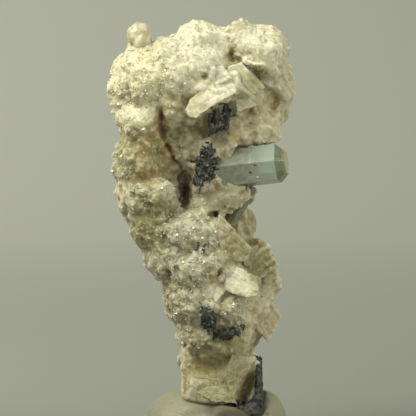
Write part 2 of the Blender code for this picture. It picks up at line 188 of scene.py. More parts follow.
# Steps across a facet: how far apart they are and how high.
STEP_WIDTH = 0.8
STEP_HEIGHT = 0.06
STEP_LEVELS = 3.0

# Where the skin is smooth besides the cleavage faces.
FLAT_PATCHES = (
    Patch(10.0, 36.6, 4.0, 4.0, 0.0, 0.9),
    Patch(2.4, 12.6, 9.8, 6.4, 0.0, 1.0, **THROUGH),
    Patch(2.0, 50.4, 6.4, 3.0, 0.0, 0.7),
    Patch(0.2, 63.6, 5.4, 4.6, 0.0, 0.9),
    Patch(13.6, 70.6, 3.2, 6.0, 0.0, 0.5, **THROUGH),
)

# Round glassy beads and lumps.
BEADED_PATCHES = (
    Patch(-13.4, 73.6, 9.0, 9.4, 0.0, 1.0, **THROUGH),
    Patch(-5.0, 40.0, 9.0, 13.0, 0.0, 0.9, **THROUGH),
    Patch(-11.0, 50.6, 5.6, 4.6, 0.0, 1.0),
    Patch(-14.4, 59.0, 6.4, 8.0, 0.0, 0.4, **THROUGH),
    Patch(-10.0, 42.0, 6.0, 9.0, 0.0, 0.5, **THROUGH),
    Patch(4.4, 27.8, 3.6, 4.4, 0.0, 0.7),
    Patch(-4.0, 26.0, 7.0, 8.0, 0.0, 0.6, **THROUGH),
    Patch(-6.4, 60.0, 1.8, 2.4, 0.0, 0.8),
)

# Valleys and slots pressed into the front: the amounts are depths in millimetres.
CARVED_PATCHES = (
    Patch(-9.7, 66.0, 1.5, 3.0, 0.0, 1.2),
    Patch(-9.2, 62.6, 1.4, 2.8, -8.0, 1.4),
    Patch(-8.2, 59.6, 1.3, 2.4, -30.0, 1.5),
    Patch(-6.8, 57.4, 1.3, 2.2, -45.0, 1.5),
    Patch(-5.6, 55.4, 1.4, 2.0, -20.0, 1.5),
    Patch(-4.9, 51.0, 1.9, 4.6, 0.0, 2.6),
    Patch(-12.6, 54.8, 2.2, 1.8, 0.0, 1.0),
    Patch(0.7, 46.5, 1.4, 1.2, 0.0, 1.8),
    Patch(2.0, 35.6, 0.9, 1.2, 0.0, 1.2),
    Patch(-2.2, 36.8, 0.7, 0.8, 0.0, 0.9),
    Patch(-8.1, 35.0, 1.0, 2.2, 0.0, 1.2),
    Patch(-0.9, 74.2, 1.0, 1.4, 30.0, 1.1),
    Patch(4.4, 78.4, 2.2, 1.6, -20.0, 1.2),
    Patch(12.6, 68.6, 1.4, 3.0, 0.0, 1.4),
    Patch(14.0, 75.8, 0.8, 1.2, 0.0, 1.2),
    Patch(8.4, 67.2, 2.4, 1.4, 0.0, 1.2),
    Patch(5.8, 32.6, 0.9, 0.5, -20.0, 0.5),
    Patch(7.2, 12.0, 1.5, 4.6, 20.0, 1.3),
    Patch(-0.4, 16.6, 4.6, 2.2, 0.0, 0.8),
)

# Chalky white growth.
CHALKY_PATCHES = (
    Patch(-1.6, 78.6, 9.6, 8.4, 0.0, 1.0, **THROUGH),
    Patch(9.6, 78.8, 7.0, 6.6, 0.0, 1.0, **THROUGH),
    Patch(1.0, 72.4, 6.0, 4.4, -20.0, 1.0),
    Patch(-9.6, 50.8, 4.6, 2.6, 0.0, 0.3),
    Patch(-6.4, 45.0, 3.0, 4.6, 0.0, 0.45),
    Patch(0.8, 31.2, 2.4, 2.4, 0.0, 0.9),
    Patch(-14.6, 66.6, 3.4, 2.4, 0.0, 0.5),
)

# Rust and dirt in cracks and holes, with painted shade in them.
CRACK_STAIN_AND_SHADE = (
    Patch(-9.7, 65.6, 0.7, 3.0, 0.0, 0.8),
    Patch(-9.2, 62.4, 0.7, 2.8, -8.0, 0.9),
    Patch(-8.2, 59.8, 0.7, 2.4, -30.0, 0.9),
    Patch(-6.9, 57.6, 0.7, 2.2, -45.0, 0.9),
    Patch(-5.6, 55.6, 0.7, 2.0, -20.0, 0.9),
    Patch(-4.9, 51.0, 1.5, 4.4, 0.0, 0.9, y=-5.0, deep=9.0),
    Patch(0.6, 46.6, 1.4, 1.1, 0.0, 0.9),
    Patch(-0.9, 74.2, 0.8, 1.0, 30.0, 0.5),
    Patch(4.4, 78.6, 1.5, 0.9, -20.0, 0.4),
    Patch(-8.2, 35.4, 0.8, 1.9, 0.0, 0.6),
    Patch(-4.0, 63.4, 0.6, 1.2, 0.0, 0.5),
    Patch(0.0, 20.4, 2.0, 1.0, 0.0, 0.4),
    Patch(7.3, 12.0, 1.6, 4.6, 20.0, 0.35),
)

BLACK_PATCHES = (
    Patch(2.0, 65.6, 3.4, 3.8, -12.0, 0.85),
    Patch(-0.6, 56.4, 3.6, 6.0, 20.0, 1.0),
    Patch(-0.6, 26.4, 2.6, 4.2, -12.0, 1.0),
    Patch(3.6, 23.2, 4.0, 1.6, -14.0, 1.0),
    Patch(-2.5, 41.0, 0.4, 1.1, 0.0, 0.9),
    Patch(-0.8, 40.4, 0.7, 1.1, -20.0, 0.8),
    Patch(1.9, 35.2, 0.5, 1.1, 0.0, 0.9),
    Patch(-2.2, 36.8, 0.4, 0.5, 0.0, 0.9),
    Patch(6.4, 24.6, 0.5, 0.5, 0.0, 1.0),
)

# Painted shadow under the foot on the putty's front, painted shade in a pit, and a brown speck.
PUTTY_SHADOWS_AND_SPECK = (
    Patch(4.0, 6.9, 8.6, 2.8, 6.0, 1.0, y=-8.0, deep=12.0),
    Patch(11.4, 7.0, 0.8, 0.5, 0.0, 0.9),
    Patch(-7.6, 8.8, 0.4, 0.3, 0.0, 0.8),
)

PALETTE = {
    "cream": (0.58, 0.54, 0.42),
    "chalk": (0.80, 0.77, 0.67),
    "honey": (0.86, 0.81, 0.63),
    "olive": (0.34, 0.305, 0.155),
    "ash": (0.46, 0.43, 0.33),
    "glass": (0.52, 0.52, 0.42),
    "tan": (0.62, 0.56, 0.42),
    "ochre": (0.50, 0.36, 0.16),
    "umber": (0.08, 0.05, 0.018),
    "drab": (0.34, 0.31, 0.18),
    "rust": (0.42, 0.29, 0.11),
}

# Colours laid over the cream feldspar, one after the other. Some olive and rust patches are painted
# shade and shadow.
PAINT = (
    ("honey", (
        Patch(-14.2, 72.0, 9.4, 10.6, 0.0, 0.9, **THROUGH),
        Patch(-8.4, 66.8, 5.0, 4.0, 0.0, 0.8),
    )),
    ("chalk", CHALKY_PATCHES),
    ("olive", (
        Patch(-13.4, 58.4, 7.6, 8.0, 0.0, 0.8, **THROUGH),
        Patch(-11.4, 45.4, 5.6, 8.4, 0.0, 0.8, **THROUGH),
        Patch(4.8, 41.0, 3.8, 6.0, 30.0, 0.75),
        # painted shade in the hollow behind the blocks
        Patch(9.8, 73.6, 3.4, 2.8, -35.0, 0.8),
        Patch(4.6, 78.0, 2.8, 1.8, -30.0, 0.7),
        # painted shadow between the lobes at the left
        Patch(-12.6, 54.6, 3.0, 3.4, 0.0, 0.8),
        Patch(-7.0, 30.0, 3.0, 8.0, -20.0, 0.4, **THROUGH),
        Patch(1.6, 20.6, 8.4, 4.6, 0.0, 0.6, **THROUGH),
        Patch(-2.6, 16.4, 5.0, 3.0, 0.0, 0.8),
        Patch(8.4, 44.6, 3.0, 4.0, 0.0, 0.7, **THROUGH),
    )),
    ("ash", (
        Patch(0.2, 63.4, 6.8, 5.4, 0.0, 1.0),
        Patch(-3.0, 57.4, 4.4, 6.4, 0.0, 0.9),
        Patch(2.6, 50.6, 7.4, 3.6, 0.0, 0.7),
        Patch(9.4, 70.6, 5.4, 5.0, 0.0, 0.6),
        Patch(4.6, 27.6, 4.2, 4.6, 0.0, 0.7),
    )),
    ("glass", (
        Patch(-4.0, 40.0, 8.0, 10.0, 0.0, 0.9),
        Patch(-5.0, 28.0, 4.0, 4.0, 0.0, 0.5),
    )),
    ("tan", (
        Patch(8.4, 63.4, 6.4, 3.8, 0.0, 0.8),
        Patch(11.0, 25.6, 4.0, 4.6, 0.0, 0.9),
        Patch(0.6, 11.6, 5.8, 2.8, 8.0, 0.8),
        Patch(8.0, 23.0, 3.0, 3.0, 0.0, 0.6),
    )),
    ("ochre", (
        Patch(-14.4, 70.0, 0.8, 2.0, 10.0, 0.4),
        Patch(-7.4, 67.6, 1.2, 0.8, 0.0, 0.5),
        Patch(-2.8, 70.4, 1.8, 0.7, -10.0, 0.5),
        Patch(4.2, 79.2, 2.0, 1.0, 0.0, 0.35),
        Patch(0.6, 34.6, 1.8, 2.2, 0.0, 0.5),
        Patch(5.2, 32.8, 1.0, 0.5, -20.0, 0.8),
        Patch(4.4, 61.8, 1.6, 0.9, 20.0, 0.6),
        Patch(-3.2, 22.8, 0.8, 1.0, 0.0, 0.6),
        Patch(14.4, 26.6, 0.5, 1.0, -20.0, 0.7),
    )),
    ("chalk", (
        Patch(6.0, 33.8, 4.0, 3.6, 0.0, 1.0),
        Patch(3.6, 71.6, 2.2, 1.6, 30.0, 1.0),
    )),
    ("drab", (
        Patch(10.0, 37.0, 4.4, 5.6, 0.0, 0.95, **THROUGH),
        Patch(8.4, 44.6, 3.0, 4.0, 0.0, 0.6, **THROUGH),
        Patch(3.0, 12.6, 10.4, 6.6, 0.0, 0.85, **THROUGH),
        Patch(1.6, 20.0, 8.4, 3.4, 0.0, 0.7, **THROUGH),
    )),
    ("cream", (
        Patch(0.2, 11.8, 4.6, 1.9, 12.0, 0.3),
    )),
    ("rust", (
        # painted shade along the crevice
        Patch(-9.6, 64.6, 1.8, 4.4, 0.0, 0.7),
        Patch(-7.8, 58.4, 1.6, 4.4, -38.0, 0.7),
        # painted shadow between the lobes at the left
        Patch(-12.6, 54.8, 2.6, 1.9, 0.0, 0.5),
        # painted shadow in the deep recesses right of and under the plates
        Patch(12.8, 68.4, 1.4, 3.2, 0.0, 0.8),
        Patch(8.2, 66.8, 2.6, 1.2, 0.0, 0.5),
        Patch(-12.6, 60.4, 2.0, 3.4, 10.0, 0.35),
        Patch(-5.0, 12.6, 0.5, 4.4, 0.0, 0.8),
        # painted contact shadow under the foot's bottom edge
        Patch(0.0, 8.6, 4.6, 0.6, 6.0, 0.6),
    )),
    ("umber", CRACK_STAIN_AND_SHADE),
    ("umber", (
        Patch(5.6, 15.4, 3.4, 4.6, 20.0, 0.18),
    )),
)

# Colours of what lies in and on the minerals, and of painted shade and shadow.
SHADES = {
    "broad mottling": (0.80, 0.76, 0.64),
    "fine mottling": (0.72, 0.66, 0.50),
    "dirt and shade in creases": (0.74, 0.60, 0.34),
    "rust spots": (0.36, 0.21, 0.08),
    "black speckles": (0.035, 0.04, 0.043),
    "grain shadow": (0.45, 0.40, 0.28),
    "groove": (0.52, 0.43, 0.26),
    "pale film": (0.86, 0.85, 0.76),
    "clear beryl": (0.64, 0.72, 0.65),
    "frost": (0.28, 0.30, 0.235),
    "thick frost": (0.48, 0.50, 0.415),
    "rim shadow": (0.42, 0.43, 0.34),
    "iron film": (0.27, 0.165, 0.03),
    "grey beryl": (0.16, 0.155, 0.10),
    "grey beryl streaks": (0.26, 0.26, 0.19),
    "schorl": (0.008, 0.009, 0.010),
    "schorl bloom": (0.045, 0.05, 0.045),
    "schorl dust": (0.24, 0.24, 0.19),
    "knob": (0.52, 0.45, 0.29),
    "knob clouds": (0.80, 0.77, 0.66),
    "putty dirt": (0.16, 0.11, 0.05),
    "putty shadows and speck": (0.26, 0.24, 0.19),
    "quartz": (0.85, 0.83, 0.72),
    "veil": (0.80, 0.82, 0.72),
}
# How far red, green and blue light spread below a surface, against each other.
CREAM_SPREAD = (1.0, 0.9, 0.7)
HONEY_SPREAD = (1.0, 0.85, 0.55)
PUTTY_SPREAD = (1.0, 0.8, 0.5)

# Index of refraction.
CRUST_IOR = 1.48
QUARTZ_IOR = 1.46
OPAL_IOR = 1.45
BERYL_IOR = 1.577
SCHORL_IOR = 1.64
# How strongly the aquamarine takes in light, a metre.
CRYSTAL_ABSORPTION = 60.0

# Voxel sizes against the rock's grain, and of the other skins in millimetres.
CORE_COARSENESS = 1.8
ROUGH_COARSENESS = 1.4
FACET_GRAIN = 0.19
KNOB_GRAIN = 0.2
SCHORL_CORE_GRAIN = 0.22
SCHORL_GRAIN = 0.17
PUTTY_GRAIN = 0.4

# Heights at which a growth or a finish begins, and how soon it is at its full strength.
CRUST_START = 9.0
GROWTH_START = 15.0
SEAM_TOP = 18.0
CROWN_START = 60.0
RISE = 4.0

# How much of the growth a cleavage face keeps off.
FACET_KEEPS_OFF = 0.96
# The least of each growth where the rock is neither beaded nor chalky.
LEAST_LUMPS = 0.25
LEAST_KNOBS = 0.35
LEAST_GRAINS = 0.35
LEAST_SUGAR = 0.2
# How much paler the ridges are painted, as a painted highlight, and how irregular the painted
# areas' edges are.
RIDGE_HIGHLIGHT = 0.22
EDGE_WOBBLE = 0.4
# Fine relief in millimetres.
ROCK_RELIEF = 0.09
FLAT_RELIEF = 0.08
FLAT_LEVELS = 3.0
FACET_RELIEF = 0.06
SCHORL_RELIEF = 0.07
SCHORL_LUMPS = 0.18
KNOB_BUBBLES = 0.12
KNOB_RELIEF = 0.08
PUTTY_LUMPS = 0.3
PUTTY_RELIEF = 0.08
# How deep a crease is when its dirt and painted shade are at full strength.
CREASE_DEPTH = 0.22
FACET_CREASE_DEPTH = 0.2
# How far the schorl is sunk, at least and where no needles grow.
SCHORL_SUNK = 0.15
SCHORL_GAP = 1.0
# How the schorl's clumps and its grooves are drawn out upwards.
CLUMP_STRETCH = np.array((1.0, 1.0, 0.6))
GROOVE_STRETCH = np.array((1.0, 1.0, 0.35))

# What grows on the bare rock before it is fused into one skin.
ROCK_GROWTHS = {
    "lobes": Growth("ball", "lobes", 0.2, (2.4, 2.4, 0.8), (5.2, 5.2, 1.8), 0.3, 3),
    "lumps": Growth("ball", "lumps", 0.25, (1.4, 1.4, 0.8), (3.2, 3.2, 1.9), 0.4, 7),
    "knobs": Growth("chip", "knobs", 0.8, (0.8, 0.8, 0.6), (1.6, 1.6, 1.3), 0.5, 13),
    "rhombs": Growth("rhomb", "rhombs", 0.32, (0.9, 0.9, 0.6), (3.0, 2.2, 1.5), 0.5, 19),
}
SUGAR = Growth("chip", "grainy", 1.9, (0.4, 0.4, 0.25), (1.1, 1.1, 0.7), 0.6, 37)
NEEDLES = Growth("prism", "needles", 1.5, (0.25, 0.25, 0.6), (0.6, 0.6, 1.7), 0.3, 91)
DUST = Growth("chip", "dusty", 1.3, (0.25, 0.25, 0.25), (0.6, 0.6, 0.6), 3.0, 131)

# The loose crust: each piece's slot, material and growth.
CRUSTS = {
    "crown_crust": ("hyalite", "glassy", Growth(
        "chip", "upper_crust", 0.5, (0.3, 0.3, 0.3), (0.75, 0.75, 0.75), 3.0, 11
    )),
    "body_crust": ("hyalite", "glassy", Growth(
        "chip", "lower_crust", 0.8, (0.3, 0.3, 0.3), (0.75, 0.75, 0.75), 3.0, 29
    )),
    "albite_sugar": ("feldspar", "sugary", Growth(
        "chip", "sugar", 0.4, (0.25, 0.25, 0.25), (0.55, 0.55, 0.55), 3.0, 47
    )),
    "schorl_splinters": ("schorl", "splintery", Growth(
        "prism", "splinters", 1.2, (0.2, 0.2, 0.6), (0.6, 0.6, 1.8), 1.3, 71
    )),
}

# Single sparkles seen in the photograph: x and z of each.
SPARKLES = (
    (-8.8, 75.0), (-5.0, 72.5), (-12.6, 69.8), (-18.0, 68.4), (-13.0, 63.6),
    (-17.4, 58.2), (-19.3, 55.1), (1.9, 46.2), (1.1, 43.4), (-3.2, 44.2),
    (-1.4, 42.2), (-6.4, 42.8), (-5.2, 37.4), (-1.1, 37.6), (-3.2, 34.2),
    (5.7, 30.0), (4.7, 29.1), (-6.6, 27.0), (-5.4, 20.8), (-9.4, 52.0),
)
SPARKLE_RADIUS = 0.36
SPARKLE_FACE = 0.26
SPARKLE_LENGTH = 0.5
# How much the sparkling faces differ in the way they face.
SPARKLE_WOBBLE = 0.03

SEAM_NODE = "schorl_foot"
SCHORL_NODES = (
    "schorl_under_shelf",
    "schorl_beside_crystal",
    "schorl_lower",
    "schorl_lower_streak",
    SEAM_NODE,
)

# The crystals, as in the CAD model.
AQUAMARINE = Crystal(
    tip=Vector((15.1, -6.6, 57.0)),
    axis=Vector((0.972, -0.2, 0.12)).normalized(),
    radius=4.2,
    length=14.6,
    rim=1.7,
    end_radius=2.6,
    roll=11.0,
)
SIDE_BERYL = Crystal(
    tip=Vector((8.5, -1.6, 52.0)),
    axis=Vector((0.5, 0.1, 0.86)).normalized(),
    radius=1.25,
    length=9.0,
    rim=0.4,
    end_radius=0.9,
    roll=0.0,
)
# Edges that bend more than this, in radians, are blunted, by so many millimetres.
SHARP_BEND = 0.3
AQUAMARINE_BLUNTING = 0.09
SIDE_BERYL_BLUNTING = 0.08
AQUAMARINE_RINGS = 6
# How far from the tip the aquamarine turns frosted, over what length, and how its frosted
# sides are rippled and chipped.
CLEAR_LENGTH = 6.2
FROST_FADE = 1.8
RIPPLE_DEPTH = 0.12
CHIP_DEPTH = 0.22

VEILS = (
    Veil(-6.1, 0.6, 0.4, 2.9, 24.0),
    Veil(-9.4, -0.4, 0.0, 3.1, -18.0),
    Veil(-11.6, 0.2, -0.3, 3.0, 10.0),
)
VEIL_THICKNESS = 0.05
VEIL_WAVES = 0.5
# Grains just under the aquamarine's front face: place, half width and colour.
INCLUSIONS = {
    "red_grain": ((8.97, -9.28, 56.6), 0.34, (0.24, 0.03, 0.01)),
    "black_grain": ((8.0, -8.56, 55.1), 0.36, (0.01, 0.01, 0.01)),
    "pale_grain": ((9.4, -8.45, 54.15), 0.34, (0.62, 0.60, 0.44)),
    "ochre_grain": ((10.0, -8.52, 54.1), 0.3, (0.46, 0.36, 0.12)),
    "ochre_film": ((9.9, -9.5, 56.9), 0.4, (0.40, 0.34, 0.16)),
}

KNOB = Lump(-14.0, -2.4, 82.0, 2.55, 2.5, 2.65)
KNOB_FOOT = Lump(-13.4, -4.4, 80.6, 1.7, 1.2, 1.5)

# The stage, in metres.
AIM = Vector((-0.4, 0.0, 47.6)) * MM
KEY_SPOT = Vector((-0.19, -0.10, 0.29))
FILL_SPOT = Vector((0.45, -0.35, 0.16))
KEY_SIZE = 0.2
FILL_SIZE = 0.4
# Rays that look for the rock's surface start in front of the specimen.
RAY_START = -0.1
# The floor and the sweep. The sweep starts behind a camera that looks from behind.
FLOOR_REACH = 1.5
PAPER_THICKNESS = 0.0004
SWEEP_HALF_WIDTH = 0.28
SWEEP_START = 0.66
SWEEP_RADIUS = 0.4
SWEEP_HEIGHT = 1.2
SWEEP_STEPS = 12
# Painted shade on the paper: how much darker it is under the specimen, how much lighter where the
# sweep starts, and how it darkens from left to right.
PAPER_NEAR = 0.52
PAPER_FAR = 1.6
PAPER_LEFT = 1.02
PAPER_RIGHT = 0.86
PAPER_SHADE_REACH = 0.1
LAMP_COLOUR = (1.0, 1.02, 0.83)
STUDIO_LIGHT = 0.54
# The camera's sensor, in millimetres.
SENSOR_WIDTH = 36.0


class SpecimenSettings(bpy.types.PropertyGroup):
    """Sizes and colours of the specimen's pieces."""

    rock_grain: FloatProperty(
        name="Rock grain",
        description="Size of the smallest shape that the rock's mesh holds",
        default=0.25 * MM,
        unit="LENGTH",
    )
    rock_faces: IntProperty(
        name="Rock triangles",
        description="How many triangles the rock's mesh keeps",
        default=194000,
    )
    crust_depth: FloatProperty(
        name="Crust depth",
        description="How deep the bare rock lies under its growths",
        default=0.5 * MM,
        unit="LENGTH",
    )
    crystal_colour: FloatVectorProperty(
        name="Aquamarine colour",
        description="Colour that the aquamarine lets through",
        default=(0.62, 0.86, 0.78),
        subtype="COLOR",
    )
    putty_colour: FloatVectorProperty(
        name="Putty colour",
        description="Colour of the mounting putty",
        default=(0.27, 0.26, 0.19),
        subtype="COLOR",
    )


class StageSettings(bpy.types.PropertyGroup):
    """Camera, lamps and backdrop."""

    camera_distance: FloatProperty(
        name="Camera distance",
        description="How far the camera stands from the specimen",
        default=0.6,
        unit="LENGTH",
    )
    camera_height: FloatProperty(
        name="Camera elevation",
        description="How far the camera looks down",
        default=math.radians(3.0),
        subtype="ANGLE",
    )
    view_width: FloatProperty(
        name="View width",
        description="Width of the field of view at the specimen",
        default=83.2 * MM,
        unit="LENGTH",
    )
    key_power: FloatProperty(
        name="Key lamp",
        description="Power of the soft lamp at the upper left",
        default=1.16,
        unit="POWER",
    )
    fill_power: FloatProperty(
        name="Fill lamp",
        description="Power of the lamp at the right",
        default=1.6,
        unit="POWER",
    )
    backdrop_colour: FloatVectorProperty(
        name="Backdrop colour",
        description="Colour of the floor and the backdrop",
        default=(0.44, 0.445, 0.425),
        subtype="COLOR",
    )


# Shapes


def place(shape):
    """Matrix that puts a unit shape where a table row says, in metres."""
    turn = Matrix.Rotation(math.radians(getattr(shape, "turn", 0.0)), 4, "Z")
    nod = Matrix.Rotation(math.radians(getattr(shape, "nod", 0.0)), 4, "X")
    lean = Matrix.Rotation(math.radians(shape.lean), 4, "Y")
    size = Matrix.Diagonal((shape.wide * MM, shape.deep * MM, shape.high * MM, 1.0))
    skew = Matrix.Identity(4)
    skew[0][2] = getattr(shape, "skew", 0.0)
    spot = Matrix.Translation(Vector((shape.x, shape.y, shape.z)) * MM)
    return spot @ turn @ lean @ nod @ skew @ size


def add_lump(bm, lump, roughness=0.09, waves=1.9):
    """A ball pushed in and out by smooth noise."""
    made = bmesh.ops.create_icosphere(bm, subdivisions=3, radius=1.0)["verts"]
    seat = place(lump)
    shift = Vector((lump.x, lump.y, lump.z))
    for vert in made:
        wave = noise.noise(vert.co * waves + shift)
        vert.co = seat @ (vert.co * (1.0 + roughness * wave))


def bevel_edges(bm, geometry, width, segments):
    return bmesh.ops.bevel(
        bm,
        geom=geometry,
        offset=width,
        segments=segments,
        profile=0.5,
        affect="EDGES",
        material=-1,
    )["verts"]


def add_block(bm, block, chamfer=0.05):
    """A skewed box with its edges knocked off."""
    made = bmesh.ops.create_cube(bm, size=1.0)["verts"]
    edges = list({edge for vert in made for edge in vert.link_edges})
    seat = place(block)
    for vert in bevel_edges(bm, made + edges, chamfer, 1):
        vert.co = seat @ vert.co


def add_shapes(bm, shapes):
    for shape in shapes:
        if isinstance(shape, Block):
            add_block(bm, shape)
        else:
            add_lump(bm, shape)


def seen_from_front(surface, x, z):
    """The point of a surface that the front view shows at x and z, or None."""
    start = Vector((x * MM, RAY_START, z * MM))
    return surface.ray_cast(start, Vector((0.0, 1.0, 0.0)))[0]


def add_facet(bm, facet, surface):
    """A block whose front face has the facet's outline, set on the surface seen from the front."""
    middle = Vector((sum(x for x, _ in facet.outline), 0.0, sum(z for _, z in facet.outline)))
    middle *= 1.0 / len(facet.outline)
    hit = seen_from_front(surface, middle.x, middle.z)
    if hit is None:
        raise RuntimeError("a facet's outline lies beside the rock")
    front = []
    for x, z in facet.outline:
        lean = facet.slope_x * (x - middle.x) + facet.slope_z * (z - middle.z)
        front.append(bm.verts.new((x * MM, hit.y + (lean - facet.out) * MM, z * MM)))
    face = bm.faces.new(front)
    back = bmesh.ops.extrude_face_region(bm, geom=[face])["geom"]
    moved = [part for part in back if isinstance(part, bmesh.types.BMVert)]
    bmesh.ops.translate(bm, vec=(0.0, facet.deep * MM, 0.0), verts=moved)


def inside_outline(points, outline):
    """Which points, seen from the front, lie inside an outline."""
    x, z = points[:, 0], points[:, 2]
    inside = np.zeros(len(points), dtype=bool)
    for (x1, z1), (x2, z2) in zip(outline, outline[1:] + outline[:1]):
        if z1 == z2:
            continue
        crossing = (z1 > z) != (z2 > z)
        inside ^= crossing & (x < (x2 - x1) * (z - z1) / (z2 - z1) + x1)
    return inside


def facet_weight(points):
    """1 on the cleavage faces and 0 elsewhere. Only the front half of the rock has them."""
    weight = np.zeros(len(points))
    for facet in FACETS.values():
        weight[inside_outline(points, facet.outline) & (points[:, 1] < 0.0)] = 1.0
    return weight


def new_object(name, data):
    obj = bpy.data.objects.new(name, data)
    bpy.context.scene.collection.objects.link(obj)
    return obj


def object_from(name, bm):
    """A mesh object from a bmesh, with its faces pointing out."""
    bmesh.ops.recalc_face_normals(bm, faces=bm.faces)
    mesh = bpy.data.meshes.new(name)
    bm.to_mesh(mesh)
    bm.free()
    return new_object(name, mesh)


def merged_copy(*nodes):
    """A bmesh of CAD nodes, with their loose triangles joined."""
    bm = bmesh.new()
    for node in nodes:
        bm.from_mesh(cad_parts[node].data)
    bmesh.ops.remove_doubles(bm, verts=bm.verts, dist=0.001 * MM)
    return bm


def apply_modifiers(obj):
    graph = bpy.context.evaluated_depsgraph_get()
    mesh = bpy.data.meshes.new_from_object(obj.evaluated_get(graph))
    obj.modifiers.clear()
    obj.data = mesh


def remesh(obj, grain):
    """Rebuilds the object's mesh as one even skin."""
    fuse = obj.modifiers.new("fuse", "REMESH")
    fuse.mode = "VOXEL"
    fuse.voxel_size = grain
    apply_modifiers(obj)


def fused(name, parts, grain):
    """One skin round several objects, which are removed."""
    bm = bmesh.new()
    for part in parts:
        bm.from_mesh(part.data)
    result = object_from(name, bm)
    for part in parts:
        bpy.data.objects.remove(part)
    remesh(result, grain)
    return result


def shade_smooth(mesh, smooth=True):
    mesh.polygons.foreach_set("use_smooth", [smooth] * len(mesh.polygons))


def finish_piece(obj, material, slot, *nodes, smooth=True):
    """Puts a piece on the body, in place of the CAD nodes that it stands for."""
    obj.data.materials.append(material)
    shade_smooth(obj.data, smooth)
    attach(obj, BODY)
    if nodes:
        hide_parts(*nodes)


# Arrays


def vertex_array(mesh, field="co"):
    values = np.empty(len(mesh.vertices) * 3)
    mesh.vertices.foreach_get(field, values)
    return values.reshape(-1, 3)


def store_vertices(mesh, points):
    mesh.vertices.foreach_set("co", points.ravel())
    mesh.update()


def push_out(mesh, points, heights):
    """Moves points along the mesh's normals and stores them. All are in millimetres."""
    normals = vertex_array(mesh, "normal")
    points = points + normals * heights[:, None]
    store_vertices(mesh, points * MM)
    return points, normals


def smooth_step(values):
    values = np.clip(values, 0.0, 1.0)
    return values * values * (3.0 - 2.0 * values)


def rising(points, start):
    """0 below a height and 1 well above it."""
    return smooth_step((points[:, 2] - start) / RISE)


def relax(mesh, points, share, rounds):
    """Moves each vertex towards the mean of its neighbours, by its share of the way."""
    ends = np.empty(len(mesh.edges) * 2, dtype=np.int32)
    mesh.edges.foreach_get("vertices", ends)
    first, second = ends.reshape(-1, 2).T
    count = np.bincount(ends, minlength=len(points))[:, None]
    share = np.broadcast_to(share, len(points))[:, None]
    for _ in range(rounds):
        total = np.zeros_like(points)
        for axis in range(3):
            total[:, axis] = np.bincount(first, points[second, axis], len(points))
            total[:, axis] += np.bincount(second, points[first, axis], len(points))
        points = points + (total / count - points) * share
    return points


def hollows(mesh, points, normals, rounds):
    """How far each vertex lies below its surroundings, in millimetres."""
    level = relax(mesh, points, 0.5, rounds)
    return np.einsum("ij,ij->i", level - points, normals)


def noise_field(points, scale, shift=0.0):
    """Smooth noise from -1 to 1, at points in millimetres."""
    offset = Vector((shift, -shift, shift * 0.5))
    return np.array([noise.noise(Vector(point) / scale + offset) for point in points])


def fractal_field(points, scale, octaves=4, shift=0.0):
    offset = Vector((shift, shift * 0.7, -shift))
    return np.array(
        [noise.fractal(Vector(point) / scale + offset, 1.0, 2.0, octaves) for point in points]
    )


def bubble_field(points, scale, shift=0.0, steepness=2.2):
    """Round bubbles that touch: 1 at the top of each, falling to 0 or less in the creases."""
    offset = Vector((shift, shift, -shift))
    nearest = [noise.voronoi(Vector(point) / scale + offset)[0][0] for point in points]
    return 1.0 - np.array(nearest) ** 2 * steepness


def patch_weight(points, patches, edge=0.35):
    """How strongly each point, in millimetres, lies in the patches, from 0 to 1."""
    weight = np.zeros(len(points))
    for patch in patches:
        lean = math.radians(patch.lean)
        across = points[:, 0] - patch.x
        up = points[:, 2] - patch.z
        along = across * math.cos(lean) - up * math.sin(lean)
        rise = across * math.sin(lean) + up * math.cos(lean)
        reach = (along / patch.wide) ** 2 + (rise / patch.high) ** 2
        reach += ((points[:, 1] - patch.y) / patch.deep) ** 2
        inside = smooth_step((1.0 - np.sqrt(reach)) / edge)
        weight = np.maximum(weight, inside * patch.amount)
    return weight


def store_colours(mesh, name, colours):
    """Writes three values a vertex as a colour attribute."""
    values = np.ones((len(mesh.vertices), 4), dtype=np.float32)
    values[:, :3] = colours
    attribute = mesh.attributes.new(name, "FLOAT_COLOR", "POINT")
    attribute.data.foreach_set("color", values.ravel())


def store_values(mesh, name, values):
    attribute = mesh.attributes.new(name, "FLOAT", "POINT")
    attribute.data.foreach_set("value", values.astype(np.float32))


def store_finish(mesh, colours, gloss, crease_dirt_and_shade, black):
    """Stores what the rock's materials read: the paint, the gloss, the dirt and painted shade in
    creases, and the black.
    """
    store_colours(mesh, "paint", colours)
    store_colours(mesh, "finish_and_shade", np.stack([gloss, crease_dirt_and_shade, black], axis=1))


# Material nodes


def set_inputs(tree, node, inputs):
    """Gives a node's inputs their values, or links them to other nodes' outputs."""
    for name, value in inputs.items():
        if isinstance(value, bpy.types.NodeSocket):
            tree.links.new(value, node.inputs[name])
        else:
            node.inputs[name].default_value = value


def add_node(tree, kind, inputs=None, **settings):
    """A node with its settings, and with inputs that are values or other nodes' outputs."""
    made = tree.nodes.new(kind)
    for name, value in settings.items():
        setattr(made, name, value)
    set_inputs(tree, made, inputs or {})
    return made


def new_material(name):
    """A material, its tree and shader, and its object coordinates in millimetres."""
    material = bpy.data.materials.new(name)
    material.use_nodes = True
    tree = material.node_tree
    metres = add_node(tree, "ShaderNodeTexCoord").outputs["Object"]
    spot = vector_output(tree, "MULTIPLY", metres, (1.0 / MM,) * 3)
    return material, tree, tree.nodes["Principled BSDF"], spot


def attribute_output(tree, name, part="Fac"):
    return add_node(tree, "ShaderNodeAttribute", attribute_name=name).outputs[part]


def vector_output(tree, operation, first, second=(0.0, 0.0, 0.0)):
    inputs = {0: first, 1: second}
    return add_node(tree, "ShaderNodeVectorMath", inputs, operation=operation).outputs[0]


